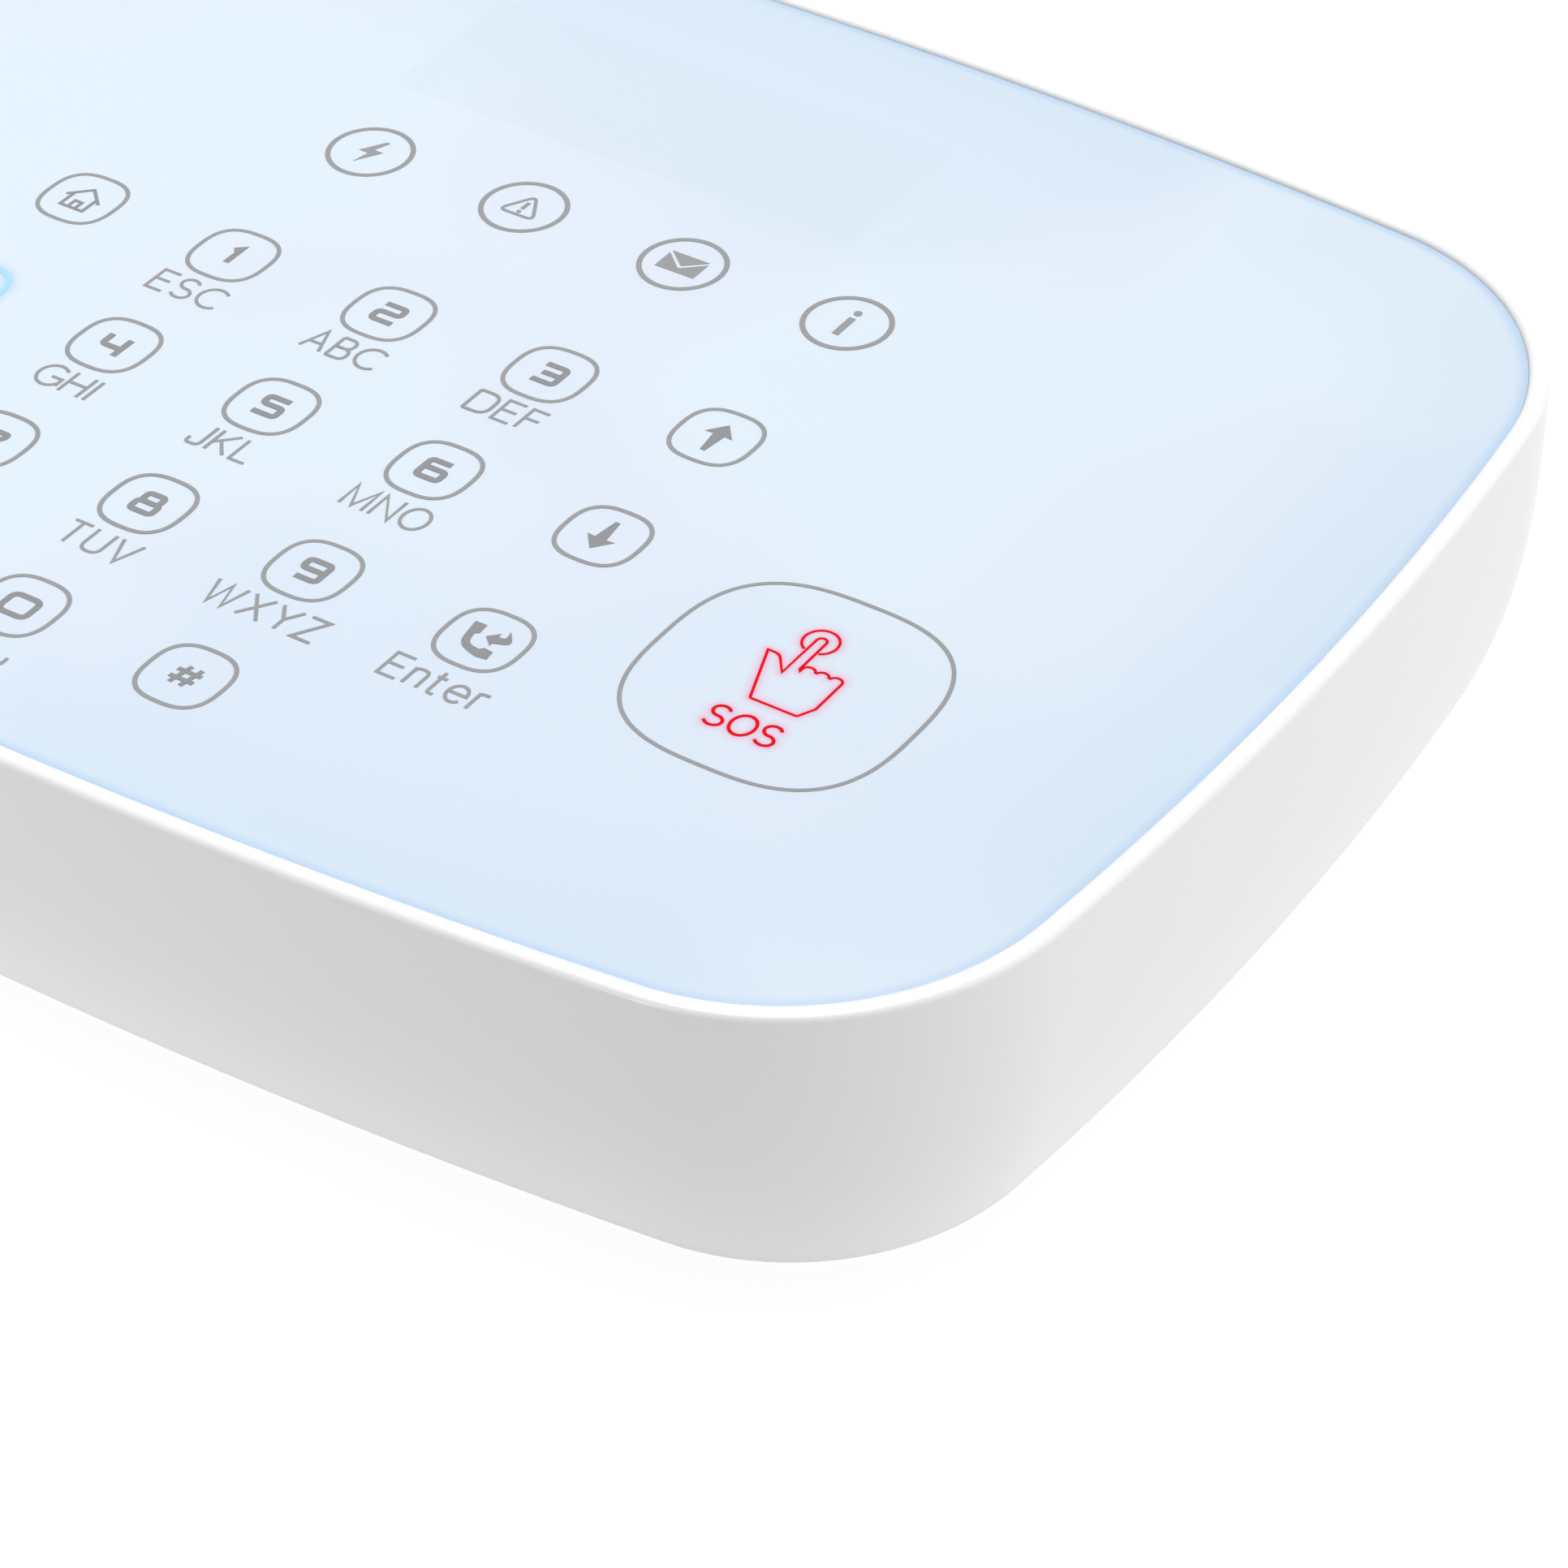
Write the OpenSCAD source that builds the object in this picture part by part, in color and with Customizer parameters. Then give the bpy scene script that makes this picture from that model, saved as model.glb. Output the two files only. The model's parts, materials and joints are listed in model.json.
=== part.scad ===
// Alarm keypad panel: a wall panel with a flat touch face, seen open from its wall bracket to its lens.
// The panel lies on its back: +Z comes out of the face, +Y points to the top of the panel.
// The origin is the centre of the panel's outline, on the plane that meets the wall.

/* [Panel outline] */
// Width over the rim
panel_w = 188; // [184:0.5:230]
// Height over the rim
panel_h = 132.5; // [130:0.5:165]
// Depth from the wall to the top of the rim
panel_d = 29.5; // [29:0.5:40]
// Radius of the bowed left and right edges
side_arc_r = 373; // [300:1:600]
// Radius of the bowed top and bottom edges
top_arc_r = 595; // [450:1:900]
// Radius of the four corners
corner_r = 27; // [22:0.5:34]

/* [Housing] */
// How far the skirt curls in between the rim and the wall
base_inset = 4; // [2:0.25:5]
// Wall of the skirt
wall_t = 2.4; // [1.8:0.1:3]
// Width of the bright rim around the face
rim_w = 1.8; // [1.4:0.1:2.6]
// How far the face lies below the rim
face_recess = 0.4; // [0.2:0.1:0.8]
// Width of the ledge that carries the lens
ledge_w = 3.5; // [3:0.25:4.5]
// Thickness of that ledge
ledge_t = 1.8; // [1.4:0.1:2.2]

/* [Face stack] */
// Thickness of the acrylic lens
lens_t = 2; // [1.5:0.1:2.4]
// Thickness of the adhesive frame under the lens
tape_t = 0.2; // [0.1:0.05:0.3]
// Thickness of the light guide
guide_t = 2.5; // [2:0.1:2.8]
// Thickness of both circuit boards
board_t = 1.6; // [1.2:0.2:2]
// Space between the two boards
board_gap = 7.7; // [7.5:0.1:8.2]

/* [Keys] */
// Distance between key columns
key_pitch_x = 17.76; // [16:0.05:19]
// Distance between key rows
key_pitch_y = 16.9; // [15:0.05:17.5]
// How far the middle of the key block lies right of the panel's middle
keys_shift_x = 6.25; // [4:0.25:8]
// Distance from the bottom of the rim to the lowest row
keys_margin = 17; // [16:0.25:20]
// Radius of a key's sensor pad
pad_r = 5.5; // [4:0.25:6.5]
// Distance from the right of the rim to the middle of the emergency key
alarm_key_margin = 36.8; // [32:0.2:40]
// Outer radius of the emergency key's sensor ring
alarm_pad_r = 11; // [9:0.5:12]

/* [Display] */
// Width of the display module
display_w = 60; // [50:1:64]
// Height of the display module
display_h = 24; // [20:1:26]
// Distance from the top of the rim to the middle of the display
display_margin = 24.5; // [24:0.5:28]

/* [Rear] */
// Thickness of the rear cover
cover_t = 2.2; // [1.8:0.1:2.6]
// How far the rear cover lies in front of the wall
cover_recess = 2.2; // [2:0.1:2.6]
// Thickness of the steel wall bracket
bracket_t = 1.5; // [1:0.1:1.6]
// Width of the wall bracket
bracket_w = 92; // [84:1:94]
// How far the panel slides up to leave its bracket
bracket_travel = 8; // [6:0.5:9]
// Horizontal distance between the bracket's screw holes
bracket_hole_x = 76; // [66:1:78]
// Vertical distance between the bracket's screw holes
bracket_hole_y = 48; // [40:1:50]
// Diameter of the bracket's screw holes
bracket_hole_d = 4.5; // [4:0.1:5]
// Distance between the bracket's two wall-box slots
box_slot_pitch = 60; // [60:0.3:60.3]

/* [Battery] */
// Length of the backup cell
cell_l = 48; // [40:1:52]
// Width of the backup cell
cell_w = 30; // [24:1:31]
// Thickness of the backup cell
cell_t = 6; // [5:0.1:6.2]

/* [Sound] */
// Radius of the speaker frame
speaker_r = 17; // [14:0.5:18]
// Distance from the right of the rim to the middle of the speaker
speaker_margin = 29; // [27:0.5:32]

/* [Ports] */
// Radius of the siren socket's bore
siren_bore_r = 1.8; // [1.75:0.05:2]
// Radius of the power socket's mouth
power_bore_r = 2.85; // [2.75:0.05:3]
// Travel of the power switch
switch_travel = 2.5; // [2:0.1:3]
// Travel of the chip card tray
tray_travel = 20; // [14:1:24]

/* [Tamper switch] */
// Radius of the tamper plunger
plunger_r = 2; // [1.6:0.1:2.6]
// How far the plunger comes out past the wall plane when the panel is free
plunger_out = 1.5; // [1:0.1:1.6]
// How far the plunger can go in past the wall plane
plunger_in = 0.5; // [0.3:0.1:0.6]

/* [Hidden] */

$fn = 48;
fit = 0.3;              // gap between parts that are placed next to each other
hinge_fit = 0.06;       // radial gap of a pin in its hole
slide_fit = 0.2;        // gap on each side of a piece that slides
half_w = panel_w / 2;
half_h = panel_h / 2;
side_steps = 3;
corner_steps = 12;
top_steps = 3;
skirt_steps = 8;
rim_round = 0.7;        // outer rounding of the rim
rim_lip = 0.4;          // inner rounding of the rim

// Levels above the wall
lens_top = panel_d - face_recess;
lens_z = lens_top - lens_t;
ledge_z = lens_z - tape_t;
film_t = 0.3;
film_z = lens_z - film_t;
guide_z = film_z - guide_t;
touch_z = guide_z - 0.4 - board_t;
main_z = touch_z - board_gap - board_t;
main_top = main_z + board_t;
touch_top = touch_z + board_t;
cover_in = cover_recess + cover_t;

// Insets from the rim's outer edge
mouth_inset = base_inset + wall_t;
ledge_inset = rim_w + ledge_w;
board_inset = mouth_inset + 0.5;
led_depth = 1.2;
led_edge = 0.4;         // from the board's edge to a light
led_gap = 0.6;          // from a light to the guide that it shines into
guide_inset = board_inset + led_edge + led_depth + led_gap;
cover_inset = mouth_inset + fit;

// The corner arc touches the side arc and the top arc, so its centre is where two circles cross
side_c = [half_w - side_arc_r, 0];
top_c = [0, half_h - top_arc_r];
span = norm(top_c - side_c);
along = (top_c - side_c) / span;
foot = (span * span + pow(side_arc_r - corner_r, 2) - pow(top_arc_r - corner_r, 2)) / (2 * span);
rise = sqrt(pow(side_arc_r - corner_r, 2) - foot * foot);
corner_c = side_c + along * foot + [-along[1], along[0]] * rise;
side_end = atan2(corner_c[1], corner_c[0] - side_c[0]);
corner_end = atan2(corner_c[1] - top_c[1], corner_c[0]);

function arc(c, r, a0, a1, n) = [for (i = [0:n - 1]) let (a = a0 + (a1 - a0) * i / n)
    c + r * [cos(a), sin(a)]];
function quarter(inset) = concat(
    arc(side_c, side_arc_r - inset, 0, side_end, side_steps),
    arc(corner_c, corner_r - inset, side_end, corner_end, corner_steps),
    arc(top_c, top_arc_r - inset, corner_end, 90, top_steps),
    [[0, half_h - inset]]);
function outline(inset) = let (q = quarter(inset), n = len(q)) concat(q,
    [for (i = [n - 2:-1:0]) [-q[i][0], q[i][1]]],
    [for (i = [1:n - 1]) [-q[i][0], -q[i][1]]],
    [for (i = [n - 2:-1:1]) [q[i][0], -q[i][1]]]);
// The skirt drops almost straight below the rim and curls in near the wall
function skirt_inset(z) = base_inset * pow(1 - z / panel_d, 3);
// Y of the top edge and X of the left edge at a given inset
function top_y(x, inset) = top_c[1] + sqrt(pow(top_arc_r - inset, 2) - x * x);
function left_x(y, inset) = -side_c[0] - sqrt(pow(side_arc_r - inset, 2) - y * y);

// Where things stand
key_x0 = keys_shift_x - 1.5 * key_pitch_x;
key_y3 = -half_h + keys_margin;
// The lowest row has keys only in its three middle columns
key_at = [for (r = [0:3], c = [-1:3]) if (r < 3 || (c >= 0 && c < 3))
    [key_x0 + c * key_pitch_x, key_y3 + (3 - r) * key_pitch_y]];
lamp_y = key_y3 + 3 * key_pitch_y + 20.5;
lamp_at = [for (c = [0:3]) [key_x0 + c * key_pitch_x, lamp_y]];
alarm_at = [half_w - alarm_key_margin, key_y3 + 1.5 * key_pitch_y];
display_at = [0, half_h - display_margin];
boss_r = 3.6;
boss_inset = mouth_inset + boss_r + 1;
corner_boss = corner_c + (corner_r - boss_inset) * [cos(45), sin(45)];
mid_boss_x = 38;
boss_at = concat([for (sx = [-1, 1], sy = [-1, 1]) [sx * corner_boss[0], sy * corner_boss[1]]],
    [for (sx = [-1, 1], sy = [-1, 1]) [sx * mid_boss_x, sy * top_y(mid_boss_x, boss_inset)]]);
post_r = 3;
post_x = 56;
post_inset = 10.8;
post_at = [for (sx = [-1, 1], sy = [-1, 1]) [sx * post_x, sy * top_y(post_x, post_inset)]];
boss_clear = 0.5;       // around a boss, in the boards and the light guide
notch_l = boss_inset + 3;

// Rear parts
pocket_wall = 1.5;
door_t = 1.8;
door_seat = 0.4;
knuckle_r = 1.3;
hinge_pin_r = 0.7;
hinge_pin_l = 1.6;
hinge_block = 3;        // width of the block that holds each pin
door_margin = 2.2;
cell_gap = 0.5;
hinge_y = -half_h + cover_inset + 4.2;
hinge_z = cover_recess + knuckle_r;
pocket_y0 = hinge_y + knuckle_r + 1;
pocket_y1 = pocket_y0 + cell_w + 2 * cell_gap + 1;
pocket_x = cell_l / 2 + cell_gap;
door_x = pocket_x + door_margin;
door_y1 = pocket_y1 + door_margin;
cell_z = cover_recess + door_t + door_seat + 0.2;
pocket_z = cell_z + cell_t + 0.2;
block_y1 = door_y1 + 1.6;
bracket_y0 = block_y1 + bracket_travel + 1.6;
bracket_y1 = half_h - cover_inset - boss_r - 6.4;
bracket_yc = (bracket_y0 + bracket_y1) / 2;
hook_w = 10;
hook_reach = bracket_travel - 0.5;
hook_x = bracket_w / 2 - 9;
hook_at = [for (sx = [-1, 1], y = [bracket_y0 + 9, bracket_y1 - 17]) [sx * hook_x, y]];
plunger_at = [-14, bracket_yc];
speaker_at = [half_w - speaker_margin, 8];
bracket_corner_r = 5;

// Ports on the left edge, from the top down
mic_y = 36;
switch_y = 26;
siren_y = 13;
power_y = 0;
sim_y = -19;
nose_back = 0.5;        // how far a port's nose stays behind the skirt's outer face
siren_size = [12, 6.4, 5.4];
power_size = [13, 8, 7.2];
switch_size = [4.4, 9, 3.6];
knob_size = [0, 2.4, 1.6];      // its length follows from the wall and the case
holder_size = [22, 18, 2.3];
tray_size = [23, 15.2, 1.2];
card_size = [15, 12, 0.7];
siren_z = main_top + siren_size[2] / 2;
power_z = main_top + power_size[2] / 2;
switch_z = main_top + switch_size[2] / 2;
tray_z = main_top + 0.5;
// X of a port's nose, clear of the bowed skirt over the port's whole width
function nose_x(y, width, z) = left_x(abs(y) + width / 2, skirt_inset(z)) + nose_back;

module slab(inset, z0, z1) {
    translate([0, 0, z0]) linear_extrude(z1 - z0) polygon(outline(inset));
}

module block(x0, x1, y0, y1, z0, z1) {
    translate([x0, y0, z0]) cube([x1 - x0, y1 - y0, z1 - z0]);
}

module rounded(w, h, r, t) {
    linear_extrude(t) union() {
        square([w - 2 * r, h], center = true);
        square([w, h - 2 * r], center = true);
        for (sx = [-1, 1], sy = [-1, 1])
            translate([sx * (w / 2 - r), sy * (h / 2 - r)]) circle(r);
    }
}

module post(at, r, z0, z1) {
    translate([at[0], at[1], z0]) cylinder(r = r, h = z1 - z0);
}

// Sweeps a closed section of [inset, z] points around the panel's outline
module outline_sweep(section) {
    m = len(outline(0));
    n = len(section);
    polyhedron(
        points = [for (s = section) for (p = outline(s[0])) [p[0], p[1], s[1]]],
        faces = [for (j = [0:n - 1], i = [0:m - 1]) let (j1 = (j + 1) % n, i1 = (i + 1) % m)
            [j1 * m + i, j1 * m + i1, j * m + i1, j * m + i]]);
}

// Direction from a boss or post straight out to the skirt: slanted in the corners
function way_out(p) = let (lean = abs(p[0]) > post_x + post_r ? sign(p[0]) * 45 : 0)
    p[1] > 0 ? 90 - lean : lean - 90;

// A bar from a point outwards
module bar(p, w, l, z0, z1) {
    translate([p[0], p[1], z0]) rotate(way_out(p)) translate([0, -w / 2, 0]) cube([l, w, z1 - z0]);
}

// Clears a boss or post, and opens the clearance to the outer edge so that no sliver is left
module notch(p, r, z0, z1) {
    post(p, r, z0, z1);
    bar(p, 1.8 * r, notch_l, z0, z1);
}

module screw(at, z_head, head_r, head_t, shaft_r, shaft_l) {
    post(at, head_r, z_head, z_head + head_t);
    post(at, shaft_r, z_head + head_t, z_head + head_t + shaft_l);
}

// ---- front ----

screw_head_r = 2.7;
screw_head_t = 1.6;
screw_r = 1.3;
screw_l = 11;
screw_seat = cover_in + 1.6;
boss_z = screw_seat + fit;
stud_r = 1.15;

rib_t = 1.6;
rib_z = 10.5;
rib_bite = 1.4;         // how far a rib reaches into the skirt
boss_top = ledge_z - 0.4;
post_rib_w = 4;
drill = 0.05;           // radial room of a thread in its hole
mic_r = 2.6;
mic_l = 2.4;
mic_hole_r = 0.8;
mic_z = main_top + mic_r;
mic_gap = 3.5;          // between the skirt and the microphone, filled by its port

module front_housing() {
    straight = panel_d - rim_round;
    section = concat(
        [for (k = [0:skirt_steps]) let (z = straight * k / skirt_steps) [skirt_inset(z), z]],
        [for (a = [30, 60, 90]) [rim_round * (1 - cos(a)), straight + rim_round * sin(a)]],
        [[rim_w - rim_lip, panel_d], [rim_w - rim_lip * 0.3, panel_d - rim_lip * 0.3],
         [rim_w, panel_d - rim_lip], [rim_w, ledge_z],
         [ledge_inset, ledge_z], [ledge_inset, ledge_z - ledge_t],
         [wall_t + skirt_inset(22), ledge_z - ledge_t - 1],
         [wall_t + skirt_inset(10), 10], [mouth_inset, 7], [mouth_inset, 0]]);
    color("white") difference() {
        union() {
            outline_sweep(section);
            for (p = boss_at) {
                post(p, boss_r, boss_z, boss_top);
                // Rib that ties the boss to the skirt
                bar(p, rib_t, boss_inset - wall_t - rib_bite, rib_z, boss_top - 0.2);
            }
            for (p = post_at) {
                post(p, post_r, touch_top, boss_top);
                bar(p, post_rib_w, post_inset - ledge_inset + rib_bite, ledge_z - ledge_t, boss_top);
            }
        }
        for (p = boss_at) post(p, screw_r + drill, boss_z - 1, boss_z + screw_l);
        for (p = post_at) post(p, stud_r + drill, touch_z, boss_top - 0.8);
        port_window(siren_y, siren_size, siren_z);
        port_window(power_y, power_size, power_z);
        port_window(switch_y, [0, knob_path, knob_size[2]], switch_z);
        port_window(sim_y, [0, tray_size[1], tray_size[2]], tray_z + tray_size[2] / 2);
        translate([-half_w - 1, mic_y, mic_z]) rotate([0, 90, 0]) cylinder(r = mic_hole_r, h = 12);
    }
}

module port_window(y, size, z) {
    block(-half_w - 1, -half_w + 12, y - size[1] / 2 - fit, y + size[1] / 2 + fit,
        z - size[2] / 2 - fit, z + size[2] / 2 + fit);
}

module face_lens() {
    color("lightblue") slab(rim_w + 0.15, lens_z, lens_top);
}

module lens_tape() {
    color("dimgray") difference() {
        slab(rim_w + 0.5, ledge_z, lens_z);
        slab(ledge_inset - 0.3, ledge_z - 1, lens_z + 1);
    }
}

window_w = display_w - 8;
window_h = display_h - 6;

module legend_film() {
    color("aliceblue") difference() {
        slab(ledge_inset + fit, film_z, lens_z);
        translate([display_at[0], display_at[1], film_z - 1]) rounded(window_w, window_h, 1, 3);
    }
}

display_clear = 2.5;
alarm_window_r = 4;

module light_guide() {
    color("azure") difference() {
        slab(guide_inset, guide_z, film_z);
        for (p = concat(boss_at, post_at)) notch(p, boss_r + boss_clear, guide_z - 1, film_z + 1);
        // The display stands in a gap that is open to the top edge
        block(-display_w / 2 - display_clear, display_w / 2 + display_clear,
            display_at[1] - display_h / 2 - display_clear, half_h, guide_z - 1, film_z + 1);
        post(alarm_at, alarm_window_r, guide_z - 1, film_z + 1);
    }
}

led_w = 3;
led_h = 1;
// The lower lights stand between the bosses, the upper ones on both sides of the display
low_led_x = [-24, -8, 8, 24];
top_led_x = [-post_x - 8, -mid_boss_x - 9, mid_boss_x + 9, post_x + 8];

module edge_led(x, side) {
    y = top_y(abs(x) + led_w / 2, board_inset + led_edge);
    block(x - led_w / 2, x + led_w / 2, side > 0 ? y - led_depth : -y, side > 0 ? y : led_depth - y,
        touch_top, touch_top + led_h);
}

module edge_leds() {
    color("ivory") {
        for (x = low_led_x) edge_led(x, -1);
        for (x = top_led_x) edge_led(x, 1);
    }
}

alarm_led_w = 3.5;
alarm_led_t = 0.8;

module alarm_led() {
    color("red") {
        chip(alarm_at, alarm_led_w, alarm_led_w, alarm_led_t, touch_top);
        post(alarm_at, 1.2, touch_top + alarm_led_t - 0.1, touch_top + alarm_led_t + 0.5);
    }
}

pad_t = 0.2;

module touch_pads() {
    color("orange") {
        for (p = concat(key_at, lamp_at)) post(p, pad_r, touch_top, touch_top + pad_t);
        difference() {
            post(alarm_at, alarm_pad_r, touch_top, touch_top + pad_t);
            post(alarm_at, alarm_window_r + 1, touch_z, touch_top + 1);
        }
    }
}

coil_w = 24;
coil_h = 44;
coil_band = 3;
coil_at = [-half_w + 33, key_y3 + 1.5 * key_pitch_y + 6];

module tag_coil() {
    color("peru") translate([coil_at[0], coil_at[1], touch_top]) difference() {
        rounded(coil_w, coil_h, 4, 0.3);
        translate([0, 0, -1]) rounded(coil_w - 2 * coil_band, coil_h - 2 * coil_band, 2, 3);
    }
}

display_floor = 0.6;
display_room = 0.1;     // from the display's face to the film
display_rim = 2;
display_z1 = film_z - display_room;

module display_module() {
    color("black") translate([display_at[0], display_at[1], touch_top + display_floor])
        linear_extrude(display_z1 - touch_top - display_floor)
            square([display_w, display_h], center = true);
}

module display_frame() {
    color("whitesmoke") translate([display_at[0], display_at[1], touch_top])
        difference() {
            linear_extrude(display_z1 - touch_top)
                square([display_w + 2 * display_rim, display_h + 2 * display_rim], center = true);
            translate([0, 0, display_floor]) linear_extrude(10)
                square([display_w + slide_fit, display_h + slide_fit], center = true);
            translate([0, 0, -1]) linear_extrude(10)
                square([display_w - 4 * display_rim, display_h - 4 * display_rim], center = true);
        }
}

flex_w = 14;
flex_t = 0.3;
flex_y = display_at[1] - display_h / 2 + 5;
flex_l = 12;
plug_side = 1.5;        // how much wider than the flex its connector is, on each side
plug_l = 4;
plug_h = 1.2;

module display_flex() {
    color("darkorange") {
        block(-flex_w / 2, flex_w / 2, flex_y, flex_y + flex_t,
            touch_z - plug_h, touch_top + display_floor);
        block(-flex_w / 2, flex_w / 2, flex_y - flex_l, flex_y + flex_t,
            touch_z - plug_h - flex_t, touch_z - plug_h);
        // Connector under the board
        block(-flex_w / 2 - plug_side, flex_w / 2 + plug_side, flex_y - flex_l, flex_y - flex_l + plug_l,
            touch_z - plug_h, touch_z);
    }
}

module touch_board() {
    color("darkgreen") difference() {
        slab(board_inset, touch_z, touch_top);
        for (p = boss_at) notch(p, boss_r + boss_clear, touch_z - 1, touch_top + 1);
        for (p = post_at) post(p, stud_r + 0.2, touch_z - 1, touch_top + 1);
        block(-flex_w / 2 - 1, flex_w / 2 + 1, flex_y - 0.6, flex_y + flex_t + 0.6,
            touch_z - 1, touch_top + 1);
    }
}

module chip(at, w, h, t, z) {
    translate([at[0] - w / 2, at[1] - h / 2, z]) cube([w, h, t]);
}

touch_chip_t = 1.2;

module touch_chips() {
    color("dimgray") for (x = [-30, 20]) chip([x, -20], 9, 9, touch_chip_t, touch_z - touch_chip_t);
}

// ---- electronics ----

spacer_r = 2.6;
board_screw_r = 2.4;
board_screw_t = 1.5;

module board_spacers() {
    color("goldenrod") for (p = post_at) difference() {
        union() {
            translate([p[0], p[1], main_top]) cylinder(r = spacer_r, h = board_gap, $fn = 6);
            post(p, stud_r, touch_z - 0.1, boss_top - 1.2);
        }
        post(p, stud_r + drill, main_top - 1, main_top + 5);
    }
}

module main_board_screws() {
    color("silver") for (p = post_at) {
        post(p, board_screw_r, main_z - board_screw_t, main_z);
        post(p, stud_r, main_z - 0.1, main_top + 4.5);
    }
}

link_at = [30, 26];
link_w = 26;
link_d = 5;

module board_link() {
    color("black") chip(link_at, link_w, link_d, touch_z - main_top, main_top);
}

module main_board() {
    color("seagreen") difference() {
        slab(board_inset, main_z, main_top);
        for (p = boss_at) notch(p, boss_r + boss_clear, main_z - 1, main_top + 1);
        for (p = post_at) post(p, stud_r + 0.2, main_z - 1, main_top + 1);
    }
}

module main_chips() {
    color("dimgray") {
        chip([-10, -8], 14, 14, 1.4, main_top);
        chip([12, -8], 8, 6, 1.6, main_top);
        chip([-10, -30], 10, 10, 4, main_top);
        for (x = [-30, -42]) post([x, -32], 4, main_top, main_top + 6.8);
    }
}

module modem_can() {
    color("silver") chip([-44, 34], 24, 24, 2.6, main_top);
}

module radio_can() {
    color("lightgray") chip([62, 24], 18, 22, 2.2, main_top);
}

antenna_y = 46;
antenna_x = [-8, 68];
antenna_r = 0.6;
antenna_h = 3.2;

module radio_antenna() {
    color("gold") {
        translate([antenna_x[0], antenna_y, main_top + antenna_h]) rotate([0, 90, 0])
            cylinder(r = antenna_r, h = antenna_x[1] - antenna_x[0]);
        post([antenna_x[1] - 2, antenna_y], antenna_r, main_top, main_top + antenna_h);
    }
}

module phone_antenna() {
    color("sienna") chip([-68, 18], 24, 44, 0.5, cover_in);
}

power_back = 2.5;       // closed end behind the bore
power_pin_r = 1;
siren_bore_l = 10;

module power_socket() {
    x0 = nose_x(power_y, power_size[1], power_z);
    bore = power_size[0] - power_back;
    color("black") {
        difference() {
            block(x0, x0 + power_size[0], power_y - power_size[1] / 2, power_y + power_size[1] / 2,
                main_top, main_top + power_size[2]);
            translate([x0 - 1, power_y, power_z]) rotate([0, 90, 0])
                cylinder(r = power_bore_r, h = bore + 1);
        }
        translate([x0 + 1, power_y, power_z]) rotate([0, 90, 0]) cylinder(r = power_pin_r, h = bore);
    }
}

module siren_socket() {
    x0 = nose_x(siren_y, siren_size[1], siren_z);
    color("black") difference() {
        block(x0, x0 + siren_size[0], siren_y - siren_size[1] / 2, siren_y + siren_size[1] / 2,
            main_top, main_top + siren_size[2]);
        translate([x0 - 1, siren_y, siren_z]) rotate([0, 90, 0])
            cylinder(r = siren_bore_r, h = siren_bore_l + 1);
    }
}

module microphone() {
    x0 = left_x(mic_y + mic_r, wall_t + skirt_inset(mic_z)) + mic_gap;
    color("gray") translate([x0, mic_y, mic_z]) rotate([0, 90, 0]) cylinder(r = mic_r, h = mic_l);
}

switch_skin = 0.4;      // sheet thickness of the switch's case
knob_root = 0.8;        // how far the knob reaches into the case
knob_x = nose_x(switch_y, knob_size[1] + switch_travel, switch_z);
switch_x = left_x(switch_y + switch_size[1] / 2, wall_t + skirt_inset(main_top)) + fit;
knob_path = knob_size[1] + switch_travel;

module switch_body() {
    color("silver") difference() {
        block(switch_x, switch_x + switch_size[0], switch_y - switch_size[1] / 2,
            switch_y + switch_size[1] / 2, main_top, main_top + switch_size[2]);
        block(switch_x - 1, switch_x + switch_skin + knob_root + fit,
            switch_y - knob_path / 2 - fit, switch_y + knob_path / 2 + fit,
            switch_z - knob_size[2] / 2 - slide_fit, switch_z + knob_size[2] / 2 + slide_fit);
    }
}

// The knob rests at the lower end of its travel
module switch_knob() {
    y0 = switch_y - knob_path / 2;
    color("black") block(knob_x, switch_x + switch_skin + knob_root, y0, y0 + knob_size[1],
        switch_z - knob_size[2] / 2, switch_z + knob_size[2] / 2);
}

tray_x = nose_x(sim_y, tray_size[1], tray_z);
holder_x = left_x(abs(sim_y) + holder_size[1] / 2, wall_t + skirt_inset(main_top)) + 3.4;
tray_well = 0.4;        // floor under the card
card_fit = 0.15;

module sim_holder() {
    color("silver") difference() {
        block(holder_x, holder_x + holder_size[0], sim_y - holder_size[1] / 2,
            sim_y + holder_size[1] / 2, main_top, main_top + holder_size[2]);
        block(holder_x - 1, tray_x + tray_size[0] + 0.5, sim_y - tray_size[1] / 2 - slide_fit,
            sim_y + tray_size[1] / 2 + slide_fit, tray_z - slide_fit, tray_z + tray_size[2] + fit);
    }
}

card_x = tray_x + 5.5;

module sim_tray() {
    color("white") difference() {
        block(tray_x, tray_x + tray_size[0], sim_y - tray_size[1] / 2, sim_y + tray_size[1] / 2,
            tray_z, tray_z + tray_size[2]);
        block(card_x - card_fit, card_x + card_size[0] + card_fit, sim_y - card_size[1] / 2 - card_fit,
            sim_y + card_size[1] / 2 + card_fit, tray_z + tray_well, tray_z + 5);
    }
}

module sim_card() {
    color("gold") block(card_x, card_x + card_size[0], sim_y - card_size[1] / 2,
        sim_y + card_size[1] / 2, tray_z + tray_well, tray_z + tray_well + card_size[2]);
}

// ---- rear ----

grille_slots = 5;
grille_pitch = 5;
grille_slot_w = 1.8;
grille_r = speaker_r - 4;
guide_top = cover_in + 1.2;
join = 0.2;             // overlap of a wall with the sheet that it stands on
ring_t = 1.6;
ring_h = 4;
pocket_roof = 1;
trough_wall = 1.4;
head_floor = 1.2;       // material under a screw head
contact_pitch = 6;
contact_w = 2;
contact_t = 0.4;
contact_in = 0.9;       // from the pocket's upper wall to a contact
contact_room = 0.4;
notch_r = 5;

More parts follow.
